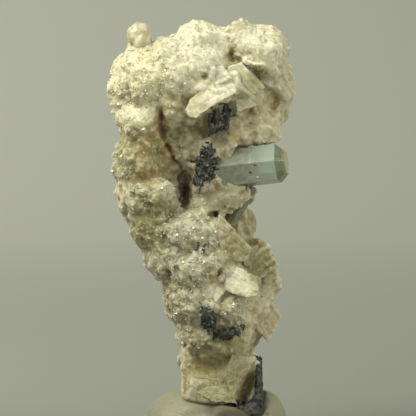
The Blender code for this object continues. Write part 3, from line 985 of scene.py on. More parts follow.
def math_output(tree, operation, first, second=0.0):
    return add_node(tree, "ShaderNodeMath", {0: first, 1: second}, operation=operation).outputs[0]


def ramp_output(tree, value, low, high, start=0.0, end=1.0):
    inputs = {"Value": value, "From Min": low, "From Max": high, "To Min": start, "To Max": end}
    return add_node(tree, "ShaderNodeMapRange", inputs, clamp=True).outputs[0]


def noise_output(tree, spot, scale, detail=4.0, roughness=0.6):
    inputs = {"Vector": spot, "Scale": scale, "Detail": detail, "Roughness": roughness}
    return add_node(tree, "ShaderNodeTexNoise", inputs).outputs["Fac"]


def clouds_output(tree, spot, scale, detail, roughness=0.6, low=0.35, high=0.65, most=1.0):
    """Noise whose values from low to high are stretched to run from 0 to the most."""
    value = noise_output(tree, spot, scale, detail, roughness)
    return ramp_output(tree, value, low, high, end=most)


def mix_output(tree, factor, first, second, blend_type="MIX"):
    """Two colours mixed. Each is another node's output, or red, green and blue."""
    inputs = {0: factor}
    for name, colour in ((6, first), (7, second)):
        given = isinstance(colour, bpy.types.NodeSocket)
        inputs[name] = colour if given else (*colour, 1.0)
    made = add_node(tree, "ShaderNodeMix", inputs, data_type="RGBA", blend_type=blend_type)
    return made.outputs[2]


def tint_output(tree, factor, colour, tint):
    """The colour multiplied by a tint, by as much as the factor says."""
    return mix_output(tree, factor, colour, tint, "MULTIPLY")


def scaled(values, factor):
    return tuple(value * factor for value in values)


def bump_output(tree, height, strength, distance, below=None):
    inputs = {"Height": height, "Strength": strength, "Distance": distance * MM}
    if below is not None:
        inputs["Normal"] = below
    return add_node(tree, "ShaderNodeBump", inputs).outputs[0]


def light_spread(weight, spread, depth):
    """Shader inputs that let light spread below a surface, to a depth in millimetres."""
    return {
        "Subsurface Weight": weight,
        "Subsurface Radius": spread,
        "Subsurface Scale": depth * MM,
    }


def grain_outputs(tree, spot, scale, tilt, below):
    """A normal that differs from grain to grain, and a random value for each grain."""
    cells = add_node(tree, "ShaderNodeTexVoronoi", {"Vector": spot, "Scale": scale})
    colour = cells.outputs["Color"]
    centred = vector_output(tree, "SUBTRACT", colour, (0.5,) * 3)
    shift = vector_output(tree, "MULTIPLY", centred, (tilt,) * 3)
    tilted = vector_output(tree, "ADD", below, shift)
    normal = vector_output(tree, "NORMALIZE", tilted)
    return normal, add_node(tree, "ShaderNodeSeparateColor", {0: colour}).outputs[0]


# Materials


def crust_colour(tree, spot, crease_dirt_and_shade, black):
    """The painted colour with mottling, creases darkened by dirt and painted shade, rusty spots and
    black speckles.
    """
    colour = attribute_output(tree, "paint", "Color")
    broad = clouds_output(tree, spot, scale=0.28, detail=3.0, most=0.35)
    colour = tint_output(tree, broad, colour, SHADES["broad mottling"])
    fine = clouds_output(
        tree, spot, scale=1.7, detail=5.0, roughness=0.7, low=0.3, high=0.7, most=0.5
    )
    colour = tint_output(tree, fine, colour, SHADES["fine mottling"])
    # Creases darkened by dirt and by painted shade.
    dirt = math_output(tree, "MULTIPLY", crease_dirt_and_shade, 0.7)
    colour = tint_output(tree, dirt, colour, SHADES["dirt and shade in creases"])
    rusty = clouds_output(
        tree, spot, scale=1.1, detail=3.0, roughness=0.8, low=0.68, high=0.78, most=0.5
    )
    colour = mix_output(tree, rusty, colour, SHADES["rust spots"])
    speckle = clouds_output(tree, spot, scale=1.5, detail=4.0, roughness=0.75)
    dark = math_output(tree, "MULTIPLY", math_output(tree, "SUBTRACT", 1.25, speckle), black)
    dark = ramp_output(tree, dark, low=0.25, high=0.65)
    return mix_output(tree, dark, colour, SHADES["black speckles"])


def growth_lines(tree, colour, normal, depth):
    """Colour and normal with the fine lines that run along a cleavage face."""
    lines = add_node(
        tree,
        "ShaderNodeTexNoise",
        {"W": attribute_output(tree, "across"), "Scale": 1.9, "Detail": 2.0, "Roughness": 0.6},
        noise_dimensions="1D",
    ).outputs["Fac"]
    normal = bump_output(tree, lines, strength=depth, distance=0.7, below=normal)
    groove = ramp_output(tree, lines, low=0.4, high=0.58, start=0.45 * depth, end=0.0)
    return tint_output(tree, groove, colour, SHADES["groove"]), normal


def rock_material(name, polish=0.0, softness=0.0, lift=0.0, grain=1.0, ribs=0.0):
    """Feldspar and what grows on it. Polish takes roughness away, and lift pales the colour.

    Grain says how much the grains in the surface stand out from each other, and ribs how deep
    the growth lines are.
    """
    material, tree, shader, spot = new_material(name)
    finish_and_shade = attribute_output(tree, "finish_and_shade", "Color")
    gloss, crease_dirt_and_shade, black = add_node(tree, "ShaderNodeSeparateColor", {0: finish_and_shade}).outputs
    colour = crust_colour(tree, spot, crease_dirt_and_shade, black)
    normal = add_node(tree, "ShaderNodeNewGeometry").outputs["Normal"]
    normal, coarse = grain_outputs(tree, spot, scale=1.3, tilt=0.5 * grain, below=normal)
    normal, fine = grain_outputs(tree, spot, scale=2.7, tilt=0.6 * grain, below=normal)
    both = math_output(tree, "ADD", coarse, fine)
    shade = ramp_output(tree, both, low=0.3, high=1.7, end=0.3 * grain)
    colour = tint_output(tree, shade, colour, SHADES["grain shadow"])
    if ribs:
        colour, normal = growth_lines(tree, colour, normal, ribs)
    if lift:
        colour = mix_output(tree, lift, colour, SHADES["pale film"])
    dull, bright = 0.78 - polish, 0.40 - 0.5 * polish
    rough = ramp_output(tree, gloss, low=0.0, high=1.0, start=dull, end=bright)
    grit = noise_output(tree, spot, scale=2.4, detail=6.0, roughness=0.75)
    uneven = ramp_output(tree, grit, low=0.3, high=0.7, start=-0.08, end=0.1)
    set_inputs(tree, shader, {
        "Base Color": colour,
        "Roughness": math_output(tree, "ADD", rough, uneven),
        "IOR": CRUST_IOR,
        "Normal": bump_output(tree, grit, strength=0.5, distance=0.2, below=normal),
        **light_spread(softness, CREAM_SPREAD, depth=1.8),
    })
    return material


def glass_material(name, colour, roughness, transmission):
    """A clear or milky mineral in one colour, slightly mottled."""
    material, tree, shader, spot = new_material(name)
    mottle = clouds_output(tree, spot, scale=0.9, detail=3.0)
    darker = (colour[0] * 0.88, colour[1] * 0.84, colour[2] * 0.72)
    uneven = noise_output(tree, spot, scale=3.0, detail=2.0)
    set_inputs(tree, shader, {
        "Base Color": mix_output(tree, mottle, colour, darker),
        "Roughness": ramp_output(tree, uneven, 0.3, 0.7, roughness * 0.5, roughness * 1.5),
        "IOR": QUARTZ_IOR,
        "Transmission Weight": transmission,
    })
    return material


def aquamarine_material(settings):
    """Clear beryl at the tip, frosted and cloudy towards the root."""
    material, tree, shader, spot = new_material("aquamarine")
    frost = attribute_output(tree, "frost")
    cloud = clouds_output(tree, spot, scale=0.9, detail=5.0, roughness=0.7)
    cloudy = mix_output(tree, cloud, SHADES["frost"], SHADES["thick frost"])
    colour = mix_output(tree, frost, SHADES["clear beryl"], cloudy)
    colour = tint_output(tree, attribute_output(tree, "bevel"), colour, SHADES["rim shadow"])
    patchy = clouds_output(tree, spot, scale=1.6, detail=4.0, roughness=0.7, low=0.38, high=0.56)
    rusty = math_output(tree, "MULTIPLY", attribute_output(tree, "rust"), patchy)
    colour = mix_output(tree, rusty, colour, SHADES["iron film"])
    clear = ramp_output(tree, frost, low=0.0, high=1.0, start=0.6, end=0.4)
    clear = math_output(tree, "SUBTRACT", clear, rusty)
    grain = noise_output(tree, spot, scale=3.4, detail=5.0, roughness=0.7)
    strength = ramp_output(tree, frost, low=0.0, high=1.0, start=0.02, end=0.6)
    set_inputs(tree, shader, {
        "Base Color": colour,
        "Roughness": ramp_output(tree, frost, low=0.0, high=1.0, start=0.05, end=0.42),
        "Transmission Weight": math_output(tree, "MAXIMUM", clear, 0.0),
        "IOR": BERYL_IOR,
        "Normal": bump_output(tree, grain, strength=strength, distance=0.12),
    })
    inputs = {"Color": (*settings.crystal_colour, 1.0), "Density": CRYSTAL_ABSORPTION}
    depth = add_node(tree, "ShaderNodeVolumeAbsorption", inputs)
    set_inputs(tree, tree.nodes["Material Output"], {"Volume": depth.outputs[0]})
    return material


def grey_beryl_material():
    material, tree, shader, spot = new_material("grey_beryl")
    streaks = clouds_output(tree, spot, scale=0.8, detail=4.0)
    grain = noise_output(tree, spot, scale=3.0, detail=4.0)
    set_inputs(tree, shader, {
        "Base Color": mix_output(
            tree, streaks, SHADES["grey beryl"], SHADES["grey beryl streaks"]
        ),
        "Roughness": 0.32,
        "Transmission Weight": 0.2,
        "IOR": BERYL_IOR,
        "Normal": bump_output(tree, grain, strength=0.3, distance=0.1),
    })
    return material


def schorl_material(name):
    """Black tourmaline: broken and vitreous, dusted with grey."""
    material, tree, shader, spot = new_material(name)
    dust = noise_output(tree, spot, scale=1.5, detail=5.0, roughness=0.75)
    bloom = ramp_output(tree, dust, low=0.48, high=0.66)
    grain = noise_output(tree, spot, scale=3.2, detail=6.0, roughness=0.8)
    set_inputs(tree, shader, {
        "Base Color": mix_output(tree, bloom, SHADES["schorl"], SHADES["schorl bloom"]),
        "Roughness": ramp_output(tree, dust, low=0.4, high=0.7, start=0.32, end=0.7),
        "IOR": SCHORL_IOR,
        "Normal": bump_output(tree, grain, strength=0.6, distance=0.25),
    })
    return material


def knob_material():
    material, tree, shader, spot = new_material("hyalite_knob")
    cloud = clouds_output(tree, spot, scale=0.5, detail=4.0, low=0.4, high=0.62)
    grain = noise_output(tree, spot, scale=1.8, detail=4.0)
    set_inputs(tree, shader, {
        "Base Color": mix_output(tree, cloud, SHADES["knob"], SHADES["knob clouds"]),
        "Roughness": 0.28,
        "IOR": OPAL_IOR,
        "Transmission Weight": 0.25,
        "Normal": bump_output(tree, grain, strength=0.35, distance=0.2),
        **light_spread(0.6, HONEY_SPREAD, depth=2.0),
    })
    return material


def putty_material(settings):
    """Matt putty with finger marks, a little dirt and a soft bloom."""
    material, tree, shader, spot = new_material("mounting_putty")
    patches = clouds_output(tree, spot, scale=0.16, detail=4.0, high=0.68)
    plain = tuple(settings.putty_colour)
    colour = mix_output(tree, patches, plain, scaled(plain, 0.8))
    dirt = clouds_output(
        tree, spot, scale=0.9, detail=3.0, roughness=0.7, low=0.66, high=0.74, most=0.7
    )
    colour = mix_output(tree, dirt, colour, SHADES["putty dirt"])
    # Painted shadow under the foot and in a pit, and a brown speck.
    shadows_and_speck = attribute_output(tree, "shadows_and_speck")
    colour = tint_output(tree, shadows_and_speck, colour, SHADES["putty shadows and speck"])
    ridges = add_node(
        tree,
        "ShaderNodeTexWave",
        {"Vector": spot, "Scale": 0.68, "Distortion": 9.0, "Detail": 1.0, "Detail Scale": 0.16},
        bands_direction="DIAGONAL",
    ).outputs["Fac"]
    lumps = noise_output(tree, spot, scale=0.5, detail=3.0)
    bump = bump_output(tree, lumps, strength=0.4, distance=0.5)
    bump = bump_output(tree, ridges, strength=0.35, distance=0.07, below=bump)
    set_inputs(tree, shader, {
        "Base Color": colour,
        "Roughness": 0.55,
        "Normal": bump,
        **light_spread(0.15, PUTTY_SPREAD, depth=1.0),
    })
    return material


def backdrop_material(settings):
    """Paper with painted shade: darker near the specimen, where the lamps light it more, and darker
    to the right.
    """
    material, tree, shader, spot = new_material("backdrop_paper")
    parts = add_node(tree, "ShaderNodeSeparateXYZ", {0: spot}).outputs
    away = ramp_output(tree, parts["Y"], 0.0, SWEEP_START / MM)
    near = scaled(settings.backdrop_colour, PAPER_NEAR)
    far = scaled(settings.backdrop_colour, PAPER_FAR)
    reach = PAPER_SHADE_REACH / MM
    # Painted shade that darkens the paper from left to right.
    across = ramp_output(tree, parts["X"], -reach, reach, PAPER_LEFT, PAPER_RIGHT)
    set_inputs(tree, shader, {
        "Base Color": tint_output(tree, 1.0, mix_output(tree, away, near, far), across),
        "Roughness": 0.9,
        "Specular IOR Level": 0.1,
    })
    return material


# Growth on the rock


def ball_grain(subdivisions=2):
    """A ball a little out of round."""
    bm = bmesh.new()
    made = bmesh.ops.create_icosphere(bm, subdivisions=subdivisions, radius=0.5)["verts"]
    for vert in made:
        vert.co *= 1.0 + 0.18 * noise.noise(vert.co * 2.6)
    return object_from("ball", bm)


def chip_grain():
    """A ball with few faces."""
    return ball_grain(1)


def rhomb_grain():
    """A skewed block, like a cleavage piece."""
    bm = bmesh.new()
    add_block(bm, Block(0.0, 0.0, 0.0, 1.0 / MM, 1.0 / MM, 1.0 / MM, skew=0.3), chamfer=0.08)
    return object_from("rhomb", bm)


def prism_grain():
    """A six-sided prism that narrows, like a small tourmaline."""
    bm = bmesh.new()
    bmesh.ops.create_cone(bm, cap_ends=True, segments=6, radius1=0.5, radius2=0.42, depth=1.0)
    return object_from("prism", bm)


# The shapes that are scattered, each one unit across.
GRAINS = {
    "ball": ball_grain,
    "chip": chip_grain,
    "rhomb": rhomb_grain,
    "prism": prism_grain,
}


def scatter_nodes(name, growth, grain, upright):
    """The geometry nodes that put copies of a grain on a surface."""
    group = bpy.data.node_groups.new(name, "GeometryNodeTree")
    for in_out in ("INPUT", "OUTPUT"):
        group.interface.new_socket("Geometry", in_out=in_out, socket_type="NodeSocketGeometry")
    start = group.nodes.new("NodeGroupInput")
    end = group.nodes.new("NodeGroupOutput")
    share = add_node(group, "GeometryNodeInputNamedAttribute", {"Name": growth.where})
    per_m2 = growth.per_mm2 / MM**2
    density = math_output(group, "MULTIPLY", share.outputs["Attribute"], per_m2)
    points = add_node(
        group,
        "GeometryNodeDistributePointsOnFaces",
        {"Mesh": start.outputs[0], "Density": density, "Seed": growth.seed},
    )
    most = (growth.lean_most, growth.lean_most, math.pi)
    lean = add_node(
        group,
        "FunctionNodeRandomValue",
        {0: scaled(most, -1.0), 1: most, "Seed": growth.seed + 1},
        data_type="FLOAT_VECTOR",
    )
    turn = add_node(group, "FunctionNodeEulerToRotation", {0: lean.outputs[0]})
    turned = add_node(
        group,
        "FunctionNodeRotateRotation",
        {"Rotation": points.outputs["Rotation"], "Rotate By": turn.outputs[0]},
        rotation_space="LOCAL",
    )
    size = add_node(
        group,
        "FunctionNodeRandomValue",
        {0: scaled(growth.smallest, MM), 1: scaled(growth.largest, MM), "Seed": growth.seed + 2},
        data_type="FLOAT_VECTOR",
    )
    source = add_node(group, "GeometryNodeObjectInfo", {"Object": grain})
    copies = add_node(
        group,
        "GeometryNodeInstanceOnPoints",
        {
            "Points": points.outputs["Points"],
            "Instance": source.outputs["Geometry"],
            "Rotation": turn.outputs[0] if upright else turned.outputs[0],
            "Scale": size.outputs[0],
        },
    )
    real = add_node(group, "GeometryNodeRealizeInstances", {0: copies.outputs[0]})
    group.links.new(real.outputs[0], end.inputs[0])
    return group


def scatter(name, surface, growth, upright=False):
    """Copies of a grain over a surface, as dense as the growth's attribute says, as one mesh.

    The copies stand out from the surface, or else upright.
    """
    grain = GRAINS[growth.grain]()
    result = new_object(name, surface.data)
    result.modifiers.new("scatter", "NODES").node_group = scatter_nodes(
        name, growth, grain, upright
    )
    apply_modifiers(result)
    result.data.materials.clear()
    bpy.data.objects.remove(grain)
    return result


def warped(points, amount=1.1, scale=2.4):
    """The points pushed about by smooth noise, so that patches get irregular edges."""
    shifts = [noise_field(points, scale, shift) for shift in (3.0, 17.0, 41.0)]
    return points + np.stack(shifts, axis=1) * amount


def carved(points):
    """The points with the valleys pressed in."""
    pressed = points.copy()
    pressed[:, 1] += patch_weight(points / MM, CARVED_PATCHES, edge=0.7) * MM
    return pressed


def mark_growth(mesh):
    """Stores where lumps, knobs and blocks grow on the bare rock."""
    still = vertex_array(mesh) / MM
    points = warped(still)
    facets = FACET_KEEPS_OFF * facet_weight(still)
    flat = np.maximum(patch_weight(points, FLAT_PATCHES), facets)
    beaded = patch_weight(points, BEADED_PATCHES)
    white = patch_weight(points, CHALKY_PATCHES)
    bare = (1.0 - flat) * (1.0 - patch_weight(points, CRACK_STAIN_AND_SHADE))
    bare = bare * rising(points, GROWTH_START)
    bare = bare * (1.0 - patch_weight(still, BLACK_PATCHES))
    store_values(mesh, "lobes", bare * white)
    store_values(mesh, "lumps", bare * np.maximum(beaded, LEAST_LUMPS))
    store_values(mesh, "knobs", bare * np.maximum(beaded, LEAST_KNOBS))
    store_values(mesh, "rhombs", bare * (1.0 - beaded) * (1.0 - 0.7 * white))


def grow_sugar(rock):
    """Small angular grains, to be fused into the rock's skin."""
    points = warped(vertex_array(rock.data) / MM)
    facets = FACET_KEEPS_OFF * facet_weight(points)
    flat = np.maximum(patch_weight(points, FLAT_PATCHES), facets)
    grainy = LEAST_GRAINS + patch_weight(points, BEADED_PATCHES)
    grainy = grainy + 0.3 * patch_weight(points, CHALKY_PATCHES)
    grainy = grainy * (1.0 - 0.8 * patch_weight(points, CRACK_STAIN_AND_SHADE))
    grainy = grainy * rising(points, GROWTH_START)
    grainy = grainy * (1.0 - 0.7 * patch_weight(points, BLACK_PATCHES))
    store_values(rock.data, "grainy", (1.0 - flat) * grainy)
    return scatter("sugar", rock, SUGAR)


def painted(points):
    """The palette's colours laid over each other at the points."""
    colours = np.tile(PALETTE["cream"], (len(points), 1))
    for name, patches in PAINT:
        weight = patch_weight(points, patches, edge=0.5)[:, None]
        colours += (np.array(PALETTE[name]) - colours) * weight
    return colours


def shape_rock_skin(mesh):
    """Gives the fused rock its fine relief, and stores its paint and where its crust grows."""
    points = vertex_array(mesh) / MM
    wavy = warped(points)
    flat = np.maximum(patch_weight(wavy, FLAT_PATCHES), facet_weight(points))
    beaded = patch_weight(wavy, BEADED_PATCHES)
    white = patch_weight(wavy, CHALKY_PATCHES)
    upper = rising(points, CROWN_START)
    # flat faces stay crisp, and the beads and the chalk of the crown go soft
    softness = 0.3 - 0.1 * flat + 0.3 * np.maximum(beaded, white) * upper
    points = relax(mesh, points, softness, rounds=2)
    store_vertices(mesh, points * MM)
    relief = ROCK_RELIEF * fractal_field(points, scale=0.7, octaves=3, shift=5.0)
    levels = np.round(fractal_field(points, scale=3.4, octaves=3) * FLAT_LEVELS)
    relief += FLAT_RELIEF * levels * flat
    points, normals = push_out(mesh, points, relief)

    hollow = hollows(mesh, points, normals, rounds=14)
    crease_dirt_and_shade = smooth_step(hollow / CREASE_DEPTH)
    black = patch_weight(wavy, BLACK_PATCHES, edge=0.7)
    gloss = np.clip(0.2 + 0.65 * beaded - 0.2 * white + 0.1 * flat, 0.0, 1.0)
    colours = painted(wavy * EDGE_WOBBLE + points * (1.0 - EDGE_WOBBLE))
    # Paler ridges: a painted highlight.
    colours += (1.0 - colours) * RIDGE_HIGHLIGHT * smooth_step(-hollow / CREASE_DEPTH)[:, None]
    store_finish(mesh, colours, gloss, crease_dirt_and_shade, black)

    bare = (1.0 - flat) * rising(points, CRUST_START)
    bare = bare * (1.0 - 0.8 * patch_weight(wavy, CRACK_STAIN_AND_SHADE, edge=0.5))
    store_values(mesh, "upper_crust", bare * upper * beaded)
    store_values(mesh, "lower_crust", bare * (1.0 - upper) * beaded)
    store_values(mesh, "sugar", bare * (LEAST_SUGAR + white) * (1.0 - beaded))
    store_values(mesh, "splinters", black)


def make_rock(settings):
    inner = [node for node in SCHORL_NODES if node != SEAM_NODE]
    bm = merged_copy("feldspar_matrix", *inner)
    add_shapes(bm, ROOT_LUMPS)
    core = object_from("rock_core", bm)
    remesh(core, settings.rock_grain * CORE_COARSENESS)
    points = relax(core.data, vertex_array(core.data), share=0.5, rounds=4)
    store_vertices(core.data, points)
    points -= vertex_array(core.data, "normal") * settings.crust_depth
    store_vertices(core.data, carved(points))
    mark_growth(core.data)
    growths = [scatter(name, core, growth) for name, growth in ROCK_GROWTHS.items()]
    bm = bmesh.new()
    add_shapes(bm, CRISP_BLOCKS)
    crisp = object_from("crisp_blocks", bm)
    rough = fused("rough_rock", [core, crisp, *growths], settings.rock_grain * ROUGH_COARSENESS)
    rock = fused("feldspar_rock", [rough, grow_sugar(rough)], settings.rock_grain)
    thin = rock.modifiers.new("thin", "DECIMATE")
    thin.ratio = min(1.0, settings.rock_faces / (2.0 * len(rock.data.polygons)))
    apply_modifiers(rock)
    shape_rock_skin(rock.data)
    material = rock_material("feldspar_and_crust", softness=0.75)
    finish_piece(rock, material, "feldspar", "feldspar_matrix")
    return rock


def make_facets(rock):
    """The cleavage faces, with finely stepped and worn edges."""
    surface = BVHTree.FromObject(rock, bpy.context.evaluated_depsgraph_get())
    bm = bmesh.new()
    for facet in FACETS.values():
        add_facet(bm, facet, surface)
    facets = object_from("cleavage_faces", bm)
    remesh(facets, FACET_GRAIN * MM)
    mesh = facets.data
    points = vertex_array(mesh) / MM
    normals = vertex_array(mesh, "normal")
    across = np.zeros(len(points))
    for facet in FACETS.values():
        across[inside_outline(points, facet.outline)] = math.radians(facet.across)
    along = points[:, 0] * np.cos(across) + points[:, 2] * np.sin(across)
    store_values(mesh, "across", along + 0.25 * noise_field(points, scale=1.6, shift=8.0))
    along = along / STEP_WIDTH + 0.7 * fractal_field(points, scale=2.0, octaves=3, shift=4.0)
    relief = STEP_HEIGHT * (np.floor(along) % STEP_LEVELS - 1.0)
    relief += FACET_RELIEF * fractal_field(points, scale=1.1, octaves=4)
    points = warped(points + normals * relief[:, None], amount=0.16, scale=1.0)
    points = relax(mesh, points, share=0.4, rounds=1)
    store_vertices(mesh, points * MM)
    crease_dirt_and_shade = smooth_step(hollows(mesh, points, normals, rounds=10) / FACET_CREASE_DEPTH)
    black = patch_weight(warped(points), BLACK_PATCHES, edge=0.6) * 0.5
    store_finish(mesh, painted(points), np.full(len(points), 0.5), crease_dirt_and_shade, black)
    material = rock_material("cleavage", polish=0.15, softness=0.4, grain=0.6, ribs=0.3)
    finish_piece(facets, material, "feldspar")


def make_crust(rock):
    """Glassy grains, white sugar and black splinters that sit on the rock."""
    materials = {
        "glassy": rock_material("glassy_crust", polish=0.45, lift=0.2),
        "sugary": rock_material("sugary_crust", polish=0.25),
        "splintery": schorl_material("schorl_splinters"),
    }
    for name, (slot, kind, growth) in CRUSTS.items():
        finish_piece(scatter(name, rock, growth), materials[kind], slot, smooth=False)


def sparkle_direction():
    """The way a facet faces to mirror the key lamp into the camera."""
    to_camera = (camera_spot(bpy.context.scene.stage_settings) - AIM).normalized()
    to_lamp = (KEY_SPOT - AIM).normalized()
    return (to_camera + to_lamp).normalized()


def make_sparkles(rock):
    """Small clean crystal faces where the photograph shows a glint."""
    surface = BVHTree.FromObject(rock, bpy.context.evaluated_depsgraph_get())
    glint = sparkle_direction()
    bm = bmesh.new()
    for index, (x, z) in enumerate(SPARKLES):
        hit = seen_from_front(surface, x, z)
        if hit is None:
            continue
        made = bmesh.ops.create_cone(
            bm,
            cap_ends=True,
            segments=6,
            radius1=SPARKLE_RADIUS * MM,
            radius2=SPARKLE_FACE * MM,
            depth=SPARKLE_LENGTH * MM,
        )["verts"]
        wobble = Vector((math.sin(index * 2.3), math.cos(index * 1.7), math.sin(index)))
        face = (glint + wobble * SPARKLE_WOBBLE).normalized()
        turn = Vector((0.0, 0.0, 1.0)).rotation_difference(face).to_matrix().to_4x4()
        bmesh.ops.transform(bm, matrix=Matrix.Translation(hit) @ turn, verts=made)
    sparkles = object_from("sparkling_faces", bm)
    material = glass_material("quartz_faces", SHADES["quartz"], roughness=0.06, transmission=0.3)
    finish_piece(sparkles, material, "hyalite", smooth=False)


# Crystals


def crystal_seat(crystal):
    """Matrix from a crystal's own millimetres, tip at the origin, to the specimen."""
    side = Vector((0.0, -1.0, 0.0))
    out = (side - crystal.axis * side.dot(crystal.axis)).normalized()
    turn = Matrix((crystal.axis.cross(out), out, crystal.axis)).transposed().to_4x4()
    spin = Matrix.Rotation(math.radians(crystal.roll), 4, "Z")
    return Matrix.Translation(crystal.tip * MM) @ turn @ spin @ Matrix.Scale(MM, 4)


def crystal_mesh(crystal, blunting, rings=1):
    """A six-sided prism ending in a narrower flat face behind a sloping rim, in millimetres."""
    bm = bmesh.new()
    reach = crystal.length - crystal.rim
    stops = [
        (-crystal.length + reach * step / rings, crystal.radius) for step in range(rings + 1)
    ]
    stops.append((0.0, crystal.end_radius))
    ring = bmesh.ops.create_circle(bm, segments=6, radius=1.0, cap_ends=True)["verts"]
    edges = list({edge for vert in ring for edge in vert.link_edges})
    for vert in ring:
        vert.co = Vector((vert.co.x * crystal.radius, vert.co.y * crystal.radius, stops[0][0]))
    for along, wide in stops[1:]:
        made = bmesh.ops.extrude_edge_only(bm, edges=edges)["geom"]
        ring = [part for part in made if isinstance(part, bmesh.types.BMVert)]
        edges = [part for part in made if isinstance(part, bmesh.types.BMEdge)]
        edges = [edge for edge in edges if all(vert in ring for vert in edge.verts)]
        for vert in ring:
            flat = Vector((vert.co.x, vert.co.y, 0.0)).normalized() * wide
            vert.co = Vector((flat.x, flat.y, along))
    bmesh.ops.contextual_create(bm, geom=edges)
    sharp = [edge for edge in bm.edges if edge.calc_face_angle(0.0) > SHARP_BEND]
    bevel_edges(bm, sharp, blunting, 2)
    return bm


def weather_sides(bm):
    """Ripples and chips the frosted part of the aquamarine's sides."""
    for vert in bm.verts:
        frost = smooth_step((-CLEAR_LENGTH - vert.co.z) / 4.0 + 0.3)
        ripple = noise.fractal(vert.co * 0.9, 1.0, 2.0, 4)
        chip = noise.noise(vert.co * 0.45)
        radial = Vector((vert.co.x, vert.co.y, 0.0)).normalized()
        vert.co -= radial * float(frost) * (RIPPLE_DEPTH * ripple + CHIP_DEPTH * max(chip, 0.0))


def make_aquamarine(settings):
    bm = crystal_mesh(AQUAMARINE, AQUAMARINE_BLUNTING, AQUAMARINE_RINGS)
    bmesh.ops.triangulate(bm, faces=bm.faces)
    bmesh.ops.subdivide_edges(bm, edges=bm.edges, cuts=5, use_grid_fill=True)
    weather_sides(bm)
    seat = crystal_seat(AQUAMARINE)
    bmesh.ops.transform(bm, matrix=seat, verts=bm.verts)
    piece = object_from("aquamarine", bm)
    mesh = piece.data
    own = np.array([seat.inverted() @ vert.co for vert in mesh.vertices])
    edge = noise_field(own, scale=1.6, shift=2.0) * FROST_FADE
    frost = smooth_step((-CLEAR_LENGTH - own[:, 2] + edge) / FROST_FADE + 0.5)
    store_values(mesh, "frost", frost)
    store_values(mesh, "rust", smooth_step((own[:, 2] + 0.5) / 0.5))
    store_values(mesh, "bevel", smooth_step((own[:, 2] + AQUAMARINE.rim) / 0.2 + 0.5))
    material = aquamarine_material(settings)
    finish_piece(piece, material, "aquamarine", "aquamarine_crystal", smooth=False)


def make_veils():
    """The cloudy sheets sealed in the aquamarine."""
    seat = crystal_seat(AQUAMARINE)
    bm = bmesh.new()
    for veil in VEILS:
        made = bmesh.ops.create_grid(bm, x_segments=14, y_segments=14, size=veil.size * 0.62)
        tilt = Matrix.Rotation(math.radians(veil.lean), 4, "X")
        shift = Matrix.Translation((veil.across, veil.up, veil.along))
        for vert in made["verts"]:
            vert.co.z += VEIL_WAVES * noise.fractal(vert.co * 0.7, 1.0, 2.0, 3)
            vert.co = seat @ shift @ tilt @ vert.co
    veils = object_from("aquamarine_veils", bm)
    solid = veils.modifiers.new("thickness", "SOLIDIFY")
    solid.thickness = VEIL_THICKNESS * MM
    apply_modifiers(veils)
    milky = glass_material("crystal_veil", SHADES["veil"], roughness=0.5, transmission=0.5)
    finish_piece(veils, milky, "aquamarine")


def make_inclusions():
    """The coloured grains sealed in the aquamarine."""
    for name, (spot, size, colour) in INCLUSIONS.items():
        bm = bmesh.new()
        add_lump(bm, Lump(*spot, size, size * 0.5, size * 0.6), roughness=0.5)
        material = glass_material(name, colour, roughness=0.5, transmission=0.0)
        finish_piece(object_from(name, bm), material, "aquamarine")


def make_side_beryl():
    bm = crystal_mesh(SIDE_BERYL, SIDE_BERYL_BLUNTING)
    bmesh.ops.transform(bm, matrix=crystal_seat(SIDE_BERYL), verts=bm.verts)
    beryl = object_from("side_beryl", bm)
    material = grey_beryl_material()
    finish_piece(beryl, material, "grey_beryl", "side_beryl_crystal", smooth=False)


# Knob, tourmalines and putty


def make_knob():
    bm = bmesh.new()
    add_lump(bm, KNOB, roughness=0.12)
    add_lump(bm, KNOB_FOOT)
    knob = object_from("hyalite_knob_skin", bm)
    remesh(knob, KNOB_GRAIN * MM)
    points = relax(knob.data, vertex_array(knob.data) / MM, share=0.5, rounds=6)
    relief = KNOB_BUBBLES * bubble_field(points, scale=1.5, shift=3.0)
    relief += KNOB_RELIEF * fractal_field(points, scale=0.8, octaves=3)
    push_out(knob.data, points, relief)
    finish_piece(knob, knob_material(), "hyalite", "hyalite_knob")


def schorl_core(node):
    """A tourmaline's CAD solid, sunk where no needles grow. On the seam they grow all over."""
    bm = merged_copy(node)
    if node == SEAM_NODE:
        add_shapes(bm, SEAM_LUMPS)
    core = object_from(node + "_core", bm)
    remesh(core, SCHORL_CORE_GRAIN * MM)
    points = vertex_array(core.data) / MM
    broken = rising(points, SEAM_TOP)
    clumps = fractal_field(points * CLUMP_STRETCH, scale=1.5, octaves=4, shift=6.0)
    patchy = smooth_step(0.5 + 1.6 * clumps)
    push_out(core.data, points, -(SCHORL_SUNK + SCHORL_GAP * broken * (1.0 - patchy)))
    needles = np.maximum(broken * patchy, 0.7 * (1.0 - broken))
    store_values(core.data, "needles", needles)
    return core


